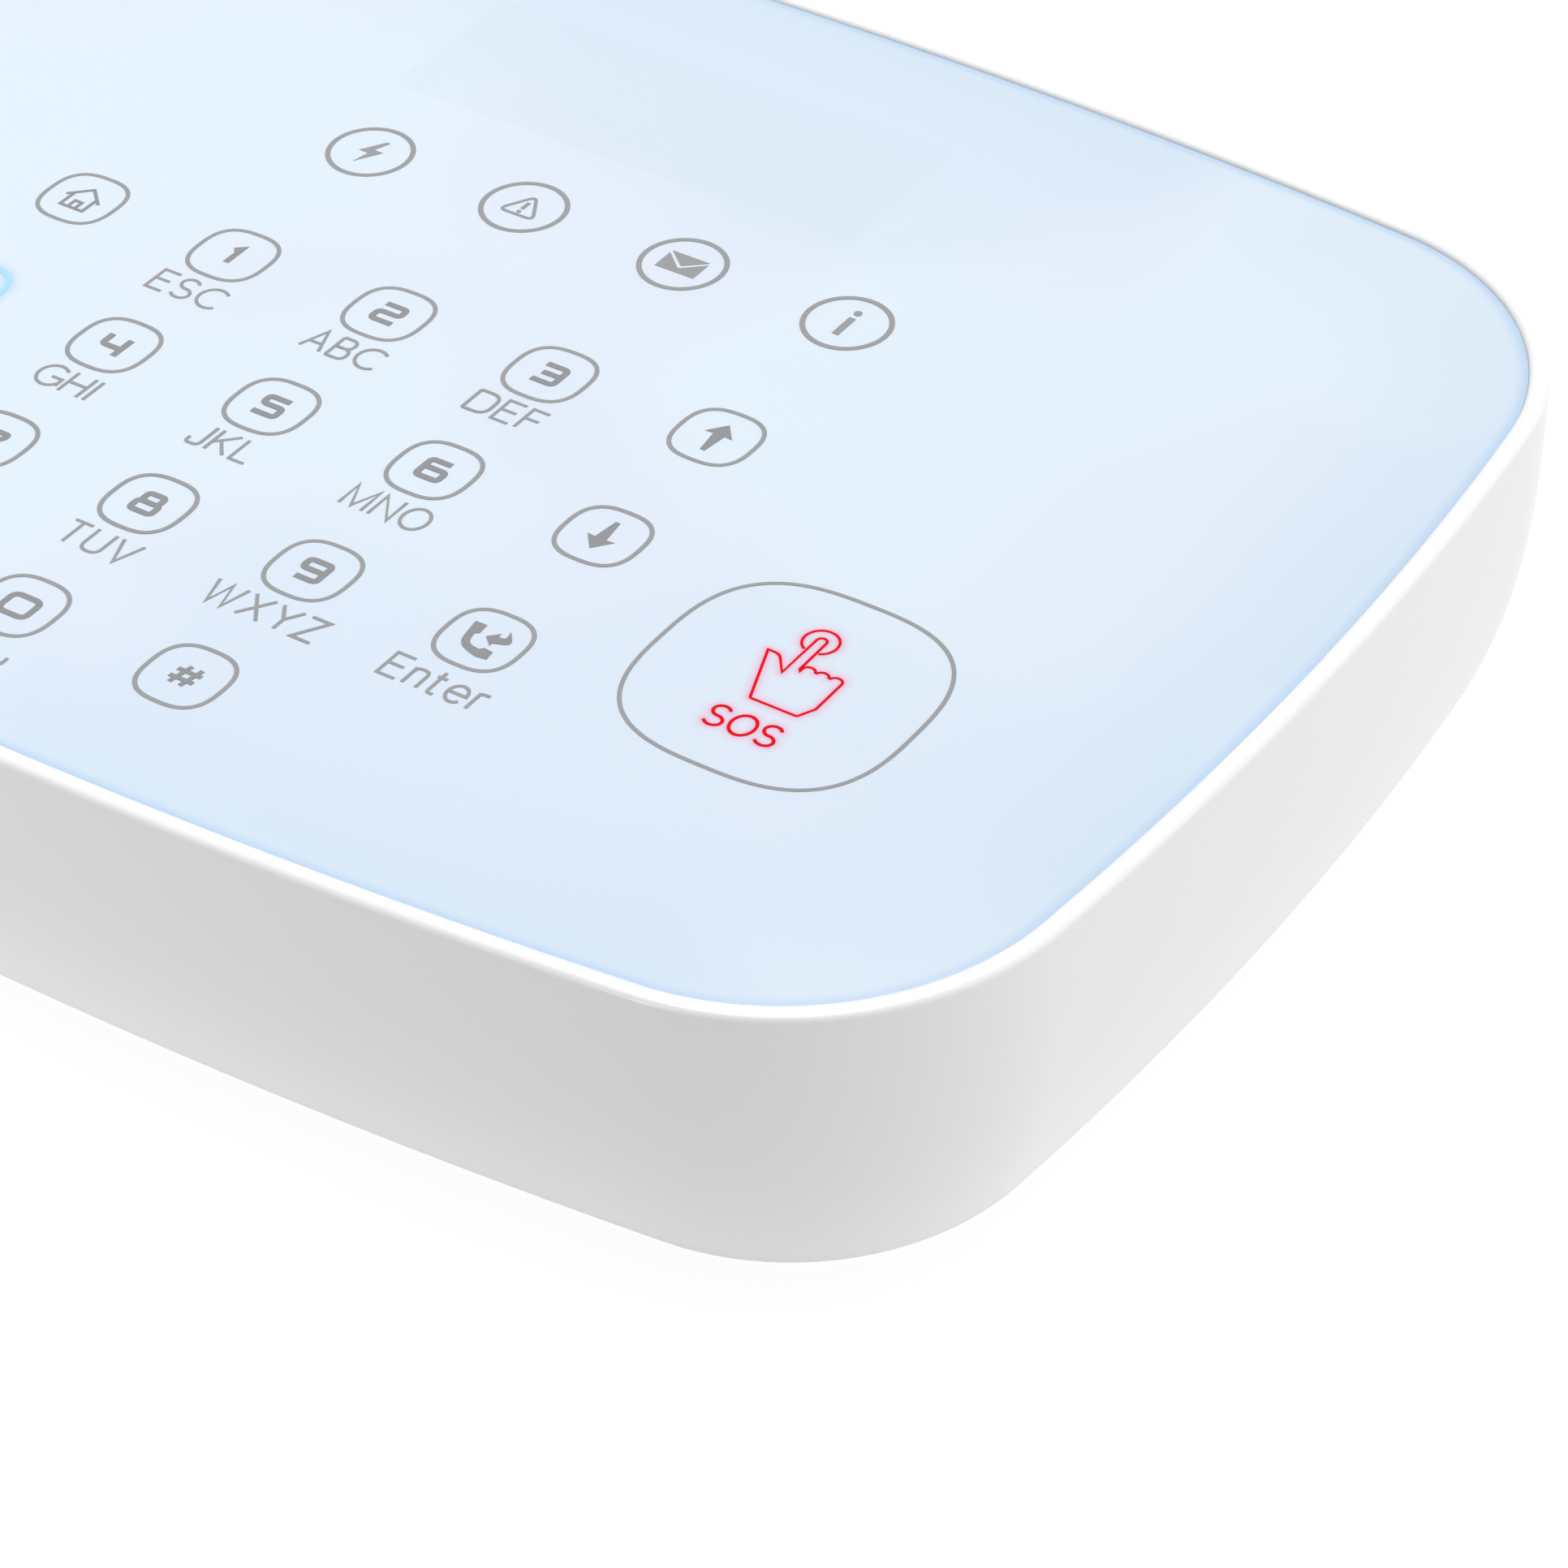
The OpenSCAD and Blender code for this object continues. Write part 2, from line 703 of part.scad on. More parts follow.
module rear_cover() {
    color("gainsboro") difference() {
        union() {
            slab(cover_inset, cover_recess, cover_in);
            for (p = boss_at) post(p, boss_r + 0.6, cover_in - join, screw_seat);
            // Walls and roof of the battery pocket
            block(-door_x - hinge_block, door_x + hinge_block, hinge_y - knuckle_r - 1, block_y1,
                cover_in - join, cell_z + trough_wall);
            block(-pocket_x - pocket_wall, pocket_x + pocket_wall, pocket_y0 - pocket_wall,
                pocket_y1 + pocket_wall, cover_in - join, pocket_z + pocket_roof);
            // Ring that holds the speaker
            difference() {
                post(speaker_at, speaker_r + ring_t, cover_in - join, cover_in + ring_h);
                post(speaker_at, speaker_r + fit, cover_in - 1, cover_in + ring_h + 1);
            }
            post(plunger_at, plunger_r + 2, cover_in - join, guide_top);
        }
        for (p = boss_at) {
            post(p, screw_r + slide_fit, cover_recess - 1, screw_seat + 1);
            post(p, screw_head_r + fit, cover_recess - 1, screw_seat - head_floor);
        }
        // Door seat, hinge trough and pocket
        block(-door_x - fit, door_x + fit, hinge_y, door_y1 + fit, cover_recess - 1,
            cover_recess + door_t + door_seat);
        block(-door_x - fit, door_x + fit, hinge_y - knuckle_r - fit, hinge_y + knuckle_r + fit,
            cover_recess - 1, hinge_z + knuckle_r + fit);
        block(-pocket_x, pocket_x, pocket_y0, pocket_y1, cover_recess, pocket_z);
        translate([-door_x - hinge_pin_l - 0.4, hinge_y, hinge_z]) rotate([0, 90, 0])
            cylinder(r = hinge_pin_r + hinge_fit, h = 2 * (door_x + hinge_pin_l + 0.4));
        // Finger notch over the door's free edge
        translate([0, door_y1 + fit, cover_recess - 0.6]) cylinder(r = notch_r, h = 1.6);
        // Contact slots in the pocket's roof
        for (k = [-1:1]) translate([k * contact_pitch, 0, 0])
            block(-contact_w / 2 - contact_room, contact_w / 2 + contact_room,
                pocket_y1 - contact_in - fit, pocket_y1, pocket_z - 1, pocket_z + pocket_roof + 1);
        // Slots that the bracket's hooks pass through
        for (p = hook_at) block(p[0] - hook_w / 2 - fit, p[0] + hook_w / 2 + fit,
            p[1] - bracket_travel - fit, p[1] + bracket_t + fit, cover_recess - 1, cover_in + 1);
        // Speaker grille
        for (k = [0:grille_slots - 1]) {
            y = (k - (grille_slots - 1) / 2) * grille_pitch;
            half = sqrt(pow(grille_r, 2) - y * y);
            block(speaker_at[0] - half, speaker_at[0] + half, speaker_at[1] + y - grille_slot_w / 2,
                speaker_at[1] + y + grille_slot_w / 2, cover_recess - 1, cover_in + 1);
        }
        post(plunger_at, plunger_r + 0.08, cover_recess - 1, guide_top + 1);
    }
}

module rear_screws() {
    color("silver") for (p = boss_at)
        screw(p, screw_seat - head_floor - screw_head_t, screw_head_r, screw_head_t, screw_r, screw_l);
}

gasket_t = 0.5;
frame_h = 3.4;          // height of the speaker's basket
magnet_r = 9;
magnet_t = 3;

module speaker_gasket() {
    color("black") difference() {
        post(speaker_at, speaker_r, cover_in, cover_in + gasket_t);
        post(speaker_at, speaker_r - 2, cover_in - 1, cover_in + 1);
    }
}

module speaker_frame() {
    color("gray") translate([speaker_at[0], speaker_at[1], cover_in + gasket_t]) rotate_extrude()
        polygon([[speaker_r - 2, 0], [speaker_r, 0], [speaker_r, 1.4], [speaker_r - 1.5, 1.4],
            [10, frame_h], [6, frame_h], [6, frame_h - 0.8], [9.6, frame_h - 0.8], [speaker_r - 2, 0.8]]);
}

module speaker_cone() {
    color("black") translate([speaker_at[0], speaker_at[1], cover_in + gasket_t]) rotate_extrude()
        polygon([[0, 0.6], [4, 1.1], [5, 1.9], [speaker_r - 4, 0.5], [speaker_r - 3.2, 0.1],
            [speaker_r - 2.2, 0.4], [speaker_r - 2.2, 0.7], [speaker_r - 3.2, 0.4],
            [speaker_r - 4, 0.8], [5, 2.3], [4, 1.5], [0, 1]]);
}

module speaker_magnet() {
    z = cover_in + gasket_t + frame_h;
    color("silver") post(speaker_at, magnet_r, z, z + magnet_t);
}

module cell_pack() {
    y0 = pocket_y0 + cell_gap;
    color("steelblue") block(-cell_l / 2, cell_l / 2, y0, y0 + cell_w, cell_z, cell_z + cell_t);
}

module cell_contacts() {
    y = pocket_y1 - contact_in;
    color("gold") for (k = [-1:1])
        block(k * contact_pitch - contact_w / 2, k * contact_pitch + contact_w / 2, y, y + contact_t,
            cell_z + 1.5, main_z);
}

grip_w = 16;
grip_pitch = 1.6;

module battery_door() {
    color("gainsboro") {
        difference() {
            block(-door_x, door_x, hinge_y, door_y1, cover_recess, cover_recess + door_t);
            // Grip ridges
            for (k = [0:3]) {
                y = door_y1 - 3 - k * grip_pitch;
                block(-grip_w / 2, grip_w / 2, y, y + 0.6, cover_recess - 1, cover_recess + 0.4);
            }
        }
        translate([-door_x, hinge_y, hinge_z]) rotate([0, 90, 0]) cylinder(r = knuckle_r, h = 2 * door_x);
        translate([-door_x - hinge_pin_l, hinge_y, hinge_z]) rotate([0, 90, 0])
            cylinder(r = hinge_pin_r, h = 2 * (door_x + hinge_pin_l));
    }
}

flange_z = guide_top + plunger_out + slide_fit;
flange_t = 1;
flange_r = plunger_r + 1.2;
tip_r = 1;
tamper_w = 7;
tamper_t = 2;
spring_z1 = main_z - tamper_t - 0.1;
plunger_top = spring_z1 - plunger_in - fit;

module tamper_plunger() {
    color("white") {
        post(plunger_at, plunger_r, 0, flange_z + 0.1);
        post(plunger_at, flange_r, flange_z, flange_z + flange_t);
        post(plunger_at, tip_r, flange_z + flange_t / 2, plunger_top);
    }
}

spring_turns = 4;
spring_sides = 6;
spring_wire = 0.2;
spring_coil_r = 2.4;
spring_z0 = flange_z + flange_t;

module tamper_spring() {
    steps = spring_turns * 16;
    lift = spring_z1 - spring_z0 - 2 * spring_wire;
    points = [for (i = [0:steps]) let (a = 360 * spring_turns * i / steps) for (k = [0:spring_sides - 1])
        let (b = 360 * k / spring_sides, r = spring_coil_r + spring_wire * cos(b))
        [plunger_at[0] + r * cos(a), plunger_at[1] + r * sin(a),
         spring_z0 + spring_wire + lift * i / steps + spring_wire * sin(b)]];
    sides = [for (i = [0:steps - 1], k = [0:spring_sides - 1]) let (k1 = (k + 1) % spring_sides)
        [i * spring_sides + k, i * spring_sides + k1,
         (i + 1) * spring_sides + k1, (i + 1) * spring_sides + k]];
    ends = [[for (k = [spring_sides - 1:-1:0]) k],
        [for (k = [0:spring_sides - 1]) steps * spring_sides + k]];
    color("silver") polyhedron(points = points, faces = concat(sides, ends));
}

module tamper_switch() {
    color("black") chip(plunger_at, tamper_w, tamper_w, tamper_t, main_z - tamper_t);
}

box_slot_r = 2.1;
box_slot_l = 4;         // between the centres of a slot's round ends
plunger_hole_r = plunger_r + 0.6;

module wall_bracket() {
    color("silver") difference() {
        union() {
            translate([0, bracket_yc, 0])
                rounded(bracket_w, bracket_y1 - bracket_y0, bracket_corner_r, bracket_t);
            for (p = hook_at) {
                block(p[0] - hook_w / 2, p[0] + hook_w / 2, p[1], p[1] + bracket_t,
                    0, cover_in + fit + bracket_t);
                block(p[0] - hook_w / 2, p[0] + hook_w / 2, p[1], p[1] + hook_reach,
                    cover_in + fit, cover_in + fit + bracket_t);
            }
        }
        for (sx = [-1, 1], sy = [-1, 1])
            post([sx * bracket_hole_x / 2, bracket_yc + sy * bracket_hole_y / 2], bracket_hole_d / 2,
                -1, bracket_t + 1);
        // Wall-box slots
        for (s = [-1, 1]) {
            x = s * box_slot_pitch / 2;
            block(x - box_slot_l / 2, x + box_slot_l / 2, bracket_yc - box_slot_r,
                bracket_yc + box_slot_r, -1, bracket_t + 1);
            for (e = [-1, 1]) post([x + e * box_slot_l / 2, bracket_yc], box_slot_r, -1, bracket_t + 1);
        }
        // Slot around the tamper plunger, long enough for the bracket's travel
        block(plunger_at[0] - plunger_hole_r, plunger_at[0] + plunger_hole_r, plunger_at[1],
            plunger_at[1] + bracket_travel, -1, bracket_t + 1);
        for (y = [0, bracket_travel]) post(plunger_at + [0, y], plunger_hole_r, -1, bracket_t + 1);
    }
}

front_housing();
face_lens();
lens_tape();
legend_film();
light_guide();
edge_leds();
alarm_led();
touch_pads();
tag_coil();
display_module();
display_frame();
display_flex();
touch_board();
touch_chips();
board_spacers();
board_link();
main_board();
main_chips();
main_board_screws();
modem_can();
radio_can();
radio_antenna();
phone_antenna();
power_socket();
siren_socket();
microphone();
switch_body();
switch_knob();
sim_holder();
sim_tray();
sim_card();
rear_cover();
rear_screws();
speaker_gasket();
speaker_frame();
speaker_magnet();
speaker_cone();
cell_pack();
cell_contacts();
battery_door();
tamper_plunger();
tamper_spring();
tamper_switch();
wall_bracket();
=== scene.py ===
import json
import math

import bmesh
import bpy
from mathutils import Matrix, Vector, kdtree

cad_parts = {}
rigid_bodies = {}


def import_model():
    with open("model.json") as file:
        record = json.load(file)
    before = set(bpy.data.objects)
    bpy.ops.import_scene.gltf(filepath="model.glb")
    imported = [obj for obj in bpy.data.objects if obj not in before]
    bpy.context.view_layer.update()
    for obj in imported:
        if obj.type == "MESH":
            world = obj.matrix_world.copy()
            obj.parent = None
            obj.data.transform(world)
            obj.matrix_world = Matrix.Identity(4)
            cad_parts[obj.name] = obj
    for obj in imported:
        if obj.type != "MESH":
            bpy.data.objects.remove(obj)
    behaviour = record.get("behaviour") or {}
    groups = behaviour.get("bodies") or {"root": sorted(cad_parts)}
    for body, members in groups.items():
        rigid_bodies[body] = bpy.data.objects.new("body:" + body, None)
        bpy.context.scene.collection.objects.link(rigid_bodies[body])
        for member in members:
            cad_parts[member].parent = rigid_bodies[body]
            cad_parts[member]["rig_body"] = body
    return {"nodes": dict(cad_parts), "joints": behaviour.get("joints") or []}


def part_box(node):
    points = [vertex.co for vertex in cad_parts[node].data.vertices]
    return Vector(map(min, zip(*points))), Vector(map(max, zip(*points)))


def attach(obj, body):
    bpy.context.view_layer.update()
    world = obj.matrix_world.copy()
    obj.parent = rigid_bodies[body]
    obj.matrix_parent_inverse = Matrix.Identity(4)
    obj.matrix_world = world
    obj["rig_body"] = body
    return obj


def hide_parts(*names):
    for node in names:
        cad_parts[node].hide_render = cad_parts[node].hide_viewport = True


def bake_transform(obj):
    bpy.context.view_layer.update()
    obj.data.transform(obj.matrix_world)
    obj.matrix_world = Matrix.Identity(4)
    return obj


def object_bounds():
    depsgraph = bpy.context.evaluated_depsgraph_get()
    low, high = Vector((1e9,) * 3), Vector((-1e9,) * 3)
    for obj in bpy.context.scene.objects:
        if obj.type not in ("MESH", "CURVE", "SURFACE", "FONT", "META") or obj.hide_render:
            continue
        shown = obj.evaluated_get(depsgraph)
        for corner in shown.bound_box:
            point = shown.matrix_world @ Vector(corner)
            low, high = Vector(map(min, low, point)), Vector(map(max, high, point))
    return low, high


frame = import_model()
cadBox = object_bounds()
nodes = frame["nodes"]
scene = bpy.context.scene
mm = 0.001
print("frame loaded:", len(nodes), "nodes")


def tone(red, green, blue):
    # a colour as a screen shows it, 0 to 255, turned into amounts of light
    return tuple(((c / 255 + 0.055) / 1.055) ** 2.4 for c in (red, green, blue)) + (1,)


class Sock:
    # an output of a shader node that can be used in ordinary arithmetic
    def __init__(self, finish, out):
        self.finish = finish
        self.out = out

    def maths(self, operation, first, second):
        return self.finish.node("ShaderNodeMath", {"operation": operation}, {0: first, 1: second})

    def __add__(self, other):
        return self.maths("ADD", self, other)

    def __radd__(self, other):
        return self.maths("ADD", other, self)

    def __sub__(self, other):
        return self.maths("SUBTRACT", self, other)

    def __rsub__(self, other):
        return self.maths("SUBTRACT", other, self)

    def __mul__(self, other):
        return self.maths("MULTIPLY", self, other)

    def __rmul__(self, other):
        return self.maths("MULTIPLY", other, self)

    def __lt__(self, other):
        return self.maths("LESS_THAN", self, other)

    def __abs__(self):
        return self.maths("ABSOLUTE", self, 0)

    def most(self, other):
        return self.maths("MAXIMUM", self, other)


class Finish:
    # one material: fixed values go on the shader's own sockets, feed() adds what varies
    def __init__(self, name, fixed):
        self.material = bpy.data.materials.new(name)
        self.material.use_nodes = True
        self.tree = self.material.node_tree
        self.tree.nodes.clear()
        self.output = self.tree.nodes.new("ShaderNodeOutputMaterial")
        self.shader = self.tree.nodes.new("ShaderNodeBsdfPrincipled")
        self.tree.links.new(self.shader.outputs[0], self.output.inputs[0])
        for socket, value in fixed.items():
            self.shader.inputs[socket].default_value = value

    def node(self, kind, settings, sockets, pick=0):
        made = self.tree.nodes.new(kind)
        for key, value in settings.items():
            setattr(made, key, value)
        for key, value in sockets.items():
            if isinstance(value, Sock):
                self.tree.links.new(value.out, made.inputs[key])
            else:
                made.inputs[key].default_value = value
        return Sock(self, made.outputs[pick])

    def feed(self, socket, value):
        self.tree.links.new(value.out, self.shader.inputs[socket])

    def place(self, stretch=(1, 1, 1)):
        # position on the panel in millimetres, which rides with the piece
        here = self.node("ShaderNodeTexCoord", {}, {}, 3)
        scale = tuple(s / mm for s in stretch)
        return self.node("ShaderNodeVectorMath", {"operation": "MULTIPLY"}, {0: here, 1: scale})

    def part(self, vector, axis):
        return self.node("ShaderNodeSeparateXYZ", {}, {0: vector}, "XYZ".index(axis))

    def noise(self, place, size, detail=2, rough=0.5):
        # soft noise, 0 to 1, whose lumps are about size millimetres
        sockets = {"Vector": place, "Scale": 1 / size, "Detail": detail, "Roughness": rough}
        return self.node("ShaderNodeTexNoise", {}, sockets)

    def cells(self, place, size, settings, pick=0):
        return self.node("ShaderNodeTexVoronoi", settings, {"Vector": place, "Scale": 1 / size}, pick)

    def mix(self, mask, low, high):
        return self.node("ShaderNodeMix", {"data_type": "RGBA"}, {0: mask, 6: low, 7: high}, 2)

    def rise(self, value, low, high):
        # 0 below low, 1 above high, smooth between
        settings = {"interpolation_type": "SMOOTHSTEP"}
        return self.node("ShaderNodeMapRange", settings, {0: value, 1: low, 2: high})

    def bump(self, height, distance):
        # height is 0 to 1, distance is what 1 means in millimetres
        sockets = {"Height": height, "Distance": distance * mm, "Strength": 1.0}
        self.feed("Normal", self.node("ShaderNodeBump", {}, sockets))

    def read(self, name):
        return self.node("ShaderNodeAttribute", {"attribute_name": name}, {}, 2)


def plastic(name, colour, rough=0.4, grain=0.35, depth=0.004, fleck=0.03, coat=0.0):
    # moulded plastic: faint clouding, a fine mould texture, gloss that wanders a little
    made = Finish(name, {"IOR": 1.5, "Coat Weight": coat, "Coat Roughness": 0.12})
    place = made.place()
    cloud = made.noise(place, 18, 3)
    fine = made.noise(place, grain, 3, 0.6)
    deep = tuple(c * (1 - fleck) for c in colour[:3]) + (1,)
    made.feed("Base Color", made.mix(cloud * 0.7 + fine * 0.3, deep, colour))
    made.feed("Roughness", rough - 0.05 + cloud * 0.06 + fine * 0.05)
    made.bump(fine * 0.8 + cloud * 0.2, depth)
    return made.material


def metal(name, colour, rough=0.28, stretch=(0.02, 1, 1), tarnish=0.12, depth=0.002):
    # rolled or plated metal: long fine scratches and a little tarnish
    made = Finish(name, {"Metallic": 1.0})
    place = made.place()
    scratch = made.noise(made.place(stretch), 0.12, 4, 0.7)
    cloud = made.noise(place, 6, 3)
    dull = tuple(c * (1 - tarnish) for c in colour[:3]) + (1,)
    made.feed("Base Color", made.mix(cloud * 0.6 + scratch * 0.4, dull, colour))
    made.feed("Roughness", rough - 0.06 + scratch * 0.14 + cloud * 0.08)
    made.bump(scratch, depth)
    return made.material


def circuitBoard(name):
    # solder mask over copper tracks, with plated holes and printed outlines
    made = Finish(name, {"IOR": 1.5, "Coat Weight": 0.3, "Coat Roughness": 0.2})
    place = made.place()
    blocks = {"distance": "CHEBYCHEV", "feature": "F1", "voronoi_dimensions": "2D"}
    ways = made.cells(place, 3.2, blocks)
    track = made.node("ShaderNodeMath", {"operation": "PINGPONG"}, {0: ways, 1: 0.09}) < 0.045
    dots = made.cells(place, 2.4, {"feature": "F1", "voronoi_dimensions": "2D"})
    hole = dots < 0.14
    ring = (dots < 0.26) - hole
    cloud = made.noise(place, 25, 2)
    mask = made.mix(track, tone(18, 74, 42), tone(30, 102, 58))
    mask = made.mix(cloud * 0.25, mask, tone(12, 52, 34))
    mask = made.mix(ring, mask, tone(196, 168, 92))
    made.feed("Base Color", made.mix(hole, mask, tone(20, 26, 22)))
    made.feed("Metallic", ring * 0.9)
    made.feed("Roughness", 0.34 - ring * 0.08 + cloud * 0.08)
    made.bump(track * 0.6 + ring, 0.03)
    return made.material


def sheen(name, colour, other, size, rough, depth):
    # cloudy soft stuff such as foam, paper and film
    made = Finish(name, {"IOR": 1.45})
    place = made.place()
    lumps = made.noise(place, size, 4, 0.65)
    made.feed("Base Color", made.mix(lumps, colour, other))
    made.feed("Roughness", rough - 0.1 + lumps * 0.2)
    made.bump(lumps, depth)
    return made.material


def lamp(name, colour, strength):
    # a small light: bright in the middle of its lumps, so it never looks painted
    made = Finish(name, {"Roughness": 0.3, "Emission Strength": strength, "IOR": 1.5})
    lumps = made.noise(made.place(), 0.8, 2)
    pale = tuple(0.5 + c / 2 for c in colour[:3]) + (1,)
    made.feed("Base Color", made.mix(lumps, colour, pale))
    made.feed("Emission Color", made.mix(lumps * 0.4, colour, pale))
    return made.material


def glassSheet(name, colour):
    made = Finish(name, {"IOR": 1.5, "Coat Weight": 1.0, "Coat Roughness": 0.04})
    place = made.place()
    lines = made.part(place, "X")
    dots = made.node("ShaderNodeMath", {"operation": "PINGPONG"}, {0: lines, 1: 0.25}) * 4
    cloud = made.noise(place, 12, 2)
    brighter = tuple(c * 1.5 for c in colour[:3]) + (1,)
    made.feed("Base Color", made.mix(cloud * 0.6 + dots * 0.2, colour, brighter))
    made.feed("Roughness", 0.1 + cloud * 0.08)
    return made.material


shellFinish = {
    "colour": tone(235, 235, 235),
    "rough": 0.36,
    "grain": 0.45,
    "depth": 0.0022,
    "fleck": 0.012,
    "coat": 0.25,
}
whiteShell = plastic("whiteShell", **shellFinish)
greyCover = plastic("greyCover", tone(214, 215, 217), 0.52, 0.5, 0.016, 0.05)
blackPlastic = plastic("blackPlastic", tone(34, 35, 38), 0.42, 0.4, 0.006, 0.2)
chipBlack = plastic("chipBlack", tone(38, 38, 42), 0.55, 0.25, 0.008, 0.25)
innerWhite = plastic("innerWhite", tone(228, 229, 228), 0.45, 0.4, 0.004, 0.04)
clearGuide = plastic("clearGuide", tone(226, 238, 246), 0.18, 0.8, 0.002, 0.02, 0.5)
ledBody = plastic("ledBody", tone(236, 232, 214), 0.35, 0.3, 0.002, 0.04)
brightSteel = metal("brightSteel", tone(205, 207, 210), 0.3)
zincSheet = metal("zincSheet", tone(196, 199, 204), 0.34, (0.03, 1, 1), 0.2, 0.003)
tinCan = metal("tinCan", tone(188, 190, 190), 0.32, (1, 0.03, 1), 0.15)
magnetSteel = metal("magnetSteel", tone(150, 152, 156), 0.38, (1, 1, 0.05), 0.2)
goldPlate = metal("goldPlate", tone(222, 186, 104), 0.24, (1, 0.05, 1), 0.12)
brassPost = metal("brassPost", tone(200, 170, 98), 0.3, (1, 1, 0.05), 0.2)
copperSheet = metal("copperSheet", tone(206, 132, 92), 0.3, (0.1, 1, 1), 0.2)
springWire = metal("springWire", tone(176, 178, 182), 0.26, (1, 1, 0.2), 0.1)
boardGreen = circuitBoard("boardGreen")
blackTape = sheen("blackTape", tone(26, 26, 28), tone(40, 40, 43), 0.9, 0.7, 0.02)
whiteFilm = sheen("whiteFilm", tone(236, 241, 247), tone(244, 247, 250), 2.5, 0.4, 0.003)
amberFlex = sheen("amberFlex", tone(176, 104, 30), tone(206, 134, 50), 2.0, 0.3, 0.01)
darkFoam = sheen("darkFoam", tone(30, 30, 32), tone(58, 58, 60), 0.35, 0.9, 0.12)
conePaper = sheen("conePaper", tone(36, 36, 38), tone(56, 55, 54), 0.5, 0.8, 0.04)
cellWrap = sheen("cellWrap", tone(52, 92, 140), tone(70, 112, 162), 4.0, 0.3, 0.02)
displayGlass = glassSheet("displayGlass", tone(24, 30, 38))
redLamp = lamp("redLamp", tone(255, 40, 40), 1.5)
print("finishes made")


def nodeBox(node):
    low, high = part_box(node)
    return low / mm, high / mm


def islands(node):
    # the box of each separate solid of a CAD node, in millimetres
    work = bmesh.new()
    work.from_mesh(nodes[node].data)
    bmesh.ops.remove_doubles(work, verts=work.verts, dist=1e-6)
    found = []
    waiting = set(work.verts)
    while waiting:
        group = [waiting.pop()]
        for vert in group:
            for edge in vert.link_edges:
                other = edge.other_vert(vert)
                if other in waiting:
                    waiting.remove(other)
                    group.append(other)
        low = Vector([min(v.co[k] for v in group) / mm for k in range(3)])
        high = Vector([max(v.co[k] for v in group) / mm for k in range(3)])
        found.append((low, high))
    work.free()
    return found


def middle(box):
    return (box[0] + box[1]) / 2


def addMesh(name, points, faces, finish):
    # points come in millimetres
    mesh = bpy.data.meshes.new(name)
    mesh.from_pydata([Vector(p) * mm for p in points], [], faces)
    mesh.materials.append(finish)
    piece = bpy.data.objects.new(name, mesh)
    scene.collection.objects.link(piece)
    return piece


def settle(piece):
    # turns the piece's modifiers into its mesh
    graph = bpy.context.evaluated_depsgraph_get()
    mesh = bpy.data.meshes.new_from_object(piece.evaluated_get(graph))
    piece.modifiers.clear()
    piece.data = mesh


def smooth(piece, angle=32):
    piece.data.shade_smooth()
    piece.data.set_sharp_from_angle(angle=math.radians(angle))


def faceOut(piece):
    work = bmesh.new()
    work.from_mesh(piece.data)
    bmesh.ops.recalc_face_normals(work, faces=work.faces)
    work.to_mesh(piece.data)
    work.free()


def arc(centre, radius, start, end, steps):
    # points from start up to, but not with, end
    points = []
    for k in range(steps):
        turn = start + (end - start) * k / steps
        points.append(centre + radius * Vector((math.cos(turn), math.sin(turn))))
    return points


shellCut = {
    "sideArc": 373,      # radius of the bowed left and right edges
    "topArc": 595,       # radius of the bowed top and bottom edges
    "cornerArc": 27,
    "curl": 4,           # how far the skirt has curled in where it meets the wall
    "wall": 2.4,
    "rim": 1.8,
    "rimRound": 0.75,
    "lipRound": 0.45,
    "ledge": 3.5,
    "ledgeThick": 1.8,
    "ledgeFoot": 0.1,    # how far the ledge's underside stands off the wall
    "ledgeSlope": 1,
    "innerStraight": 10, # below this height the inside narrows towards the mouth
    "mouthTall": 7,
    "footRound": 0.35,
    "footSteps": 4,
    "rimSteps": 8,
    "lipSteps": 6,
    "skirtRings": 26,
    "sideSteps": 22,
    "cornerSteps": 40,
    "topSteps": 24,
}
halfWidth = cadBox[1].x / mm
halfHeight = cadBox[1].y / mm
depth = cadBox[1].z / mm
sideMid = Vector((halfWidth - shellCut["sideArc"], 0))
topMid = Vector((0, halfHeight - shellCut["topArc"]))


def cornerPlace():
    # the corner arc touches both bowed edges, so its middle is where two circles cross
    reachSide = shellCut["sideArc"] - shellCut["cornerArc"]
    reachTop = shellCut["topArc"] - shellCut["cornerArc"]
    across = topMid - sideMid
    span = across.length
    along = across / span
    foot = (span ** 2 + reachSide ** 2 - reachTop ** 2) / (2 * span)
    rise = math.sqrt(reachSide ** 2 - foot ** 2)
    return sideMid + along * foot + Vector((-along.y, along.x)) * rise


cornerMid = cornerPlace()
sideEnd = math.atan2(cornerMid.y - sideMid.y, cornerMid.x - sideMid.x)
cornerEnd = math.atan2(cornerMid.y - topMid.y, cornerMid.x - topMid.x)


def outline(inset):
    # the panel's outline, moved in by inset, once round from the middle of the right edge
    cut = shellCut
    quarter = arc(sideMid, cut["sideArc"] - inset, 0, sideEnd, cut["sideSteps"])
    quarter += arc(cornerMid, cut["cornerArc"] - inset, sideEnd, cornerEnd, cut["cornerSteps"])
    quarter += arc(topMid, cut["topArc"] - inset, cornerEnd, math.pi / 2, cut["topSteps"])
    quarter.append(Vector((0, halfHeight - inset)))
    left = [Vector((-p.x, p.y)) for p in quarter[-2::-1]]
    upper = quarter + left
    lower = [Vector((p.x, -p.y)) for p in upper[-2:0:-1]]
    return upper + lower


def skirtInset(z):
    # almost straight below the rim, curling in near the wall
    return shellCut["curl"] * (1 - z / depth) ** 3


def skirtLeft(y, z):
    # x of the left skirt
    reach = shellCut["sideArc"] - skirtInset(z)
    return -sideMid.x - math.sqrt(reach ** 2 - y ** 2)


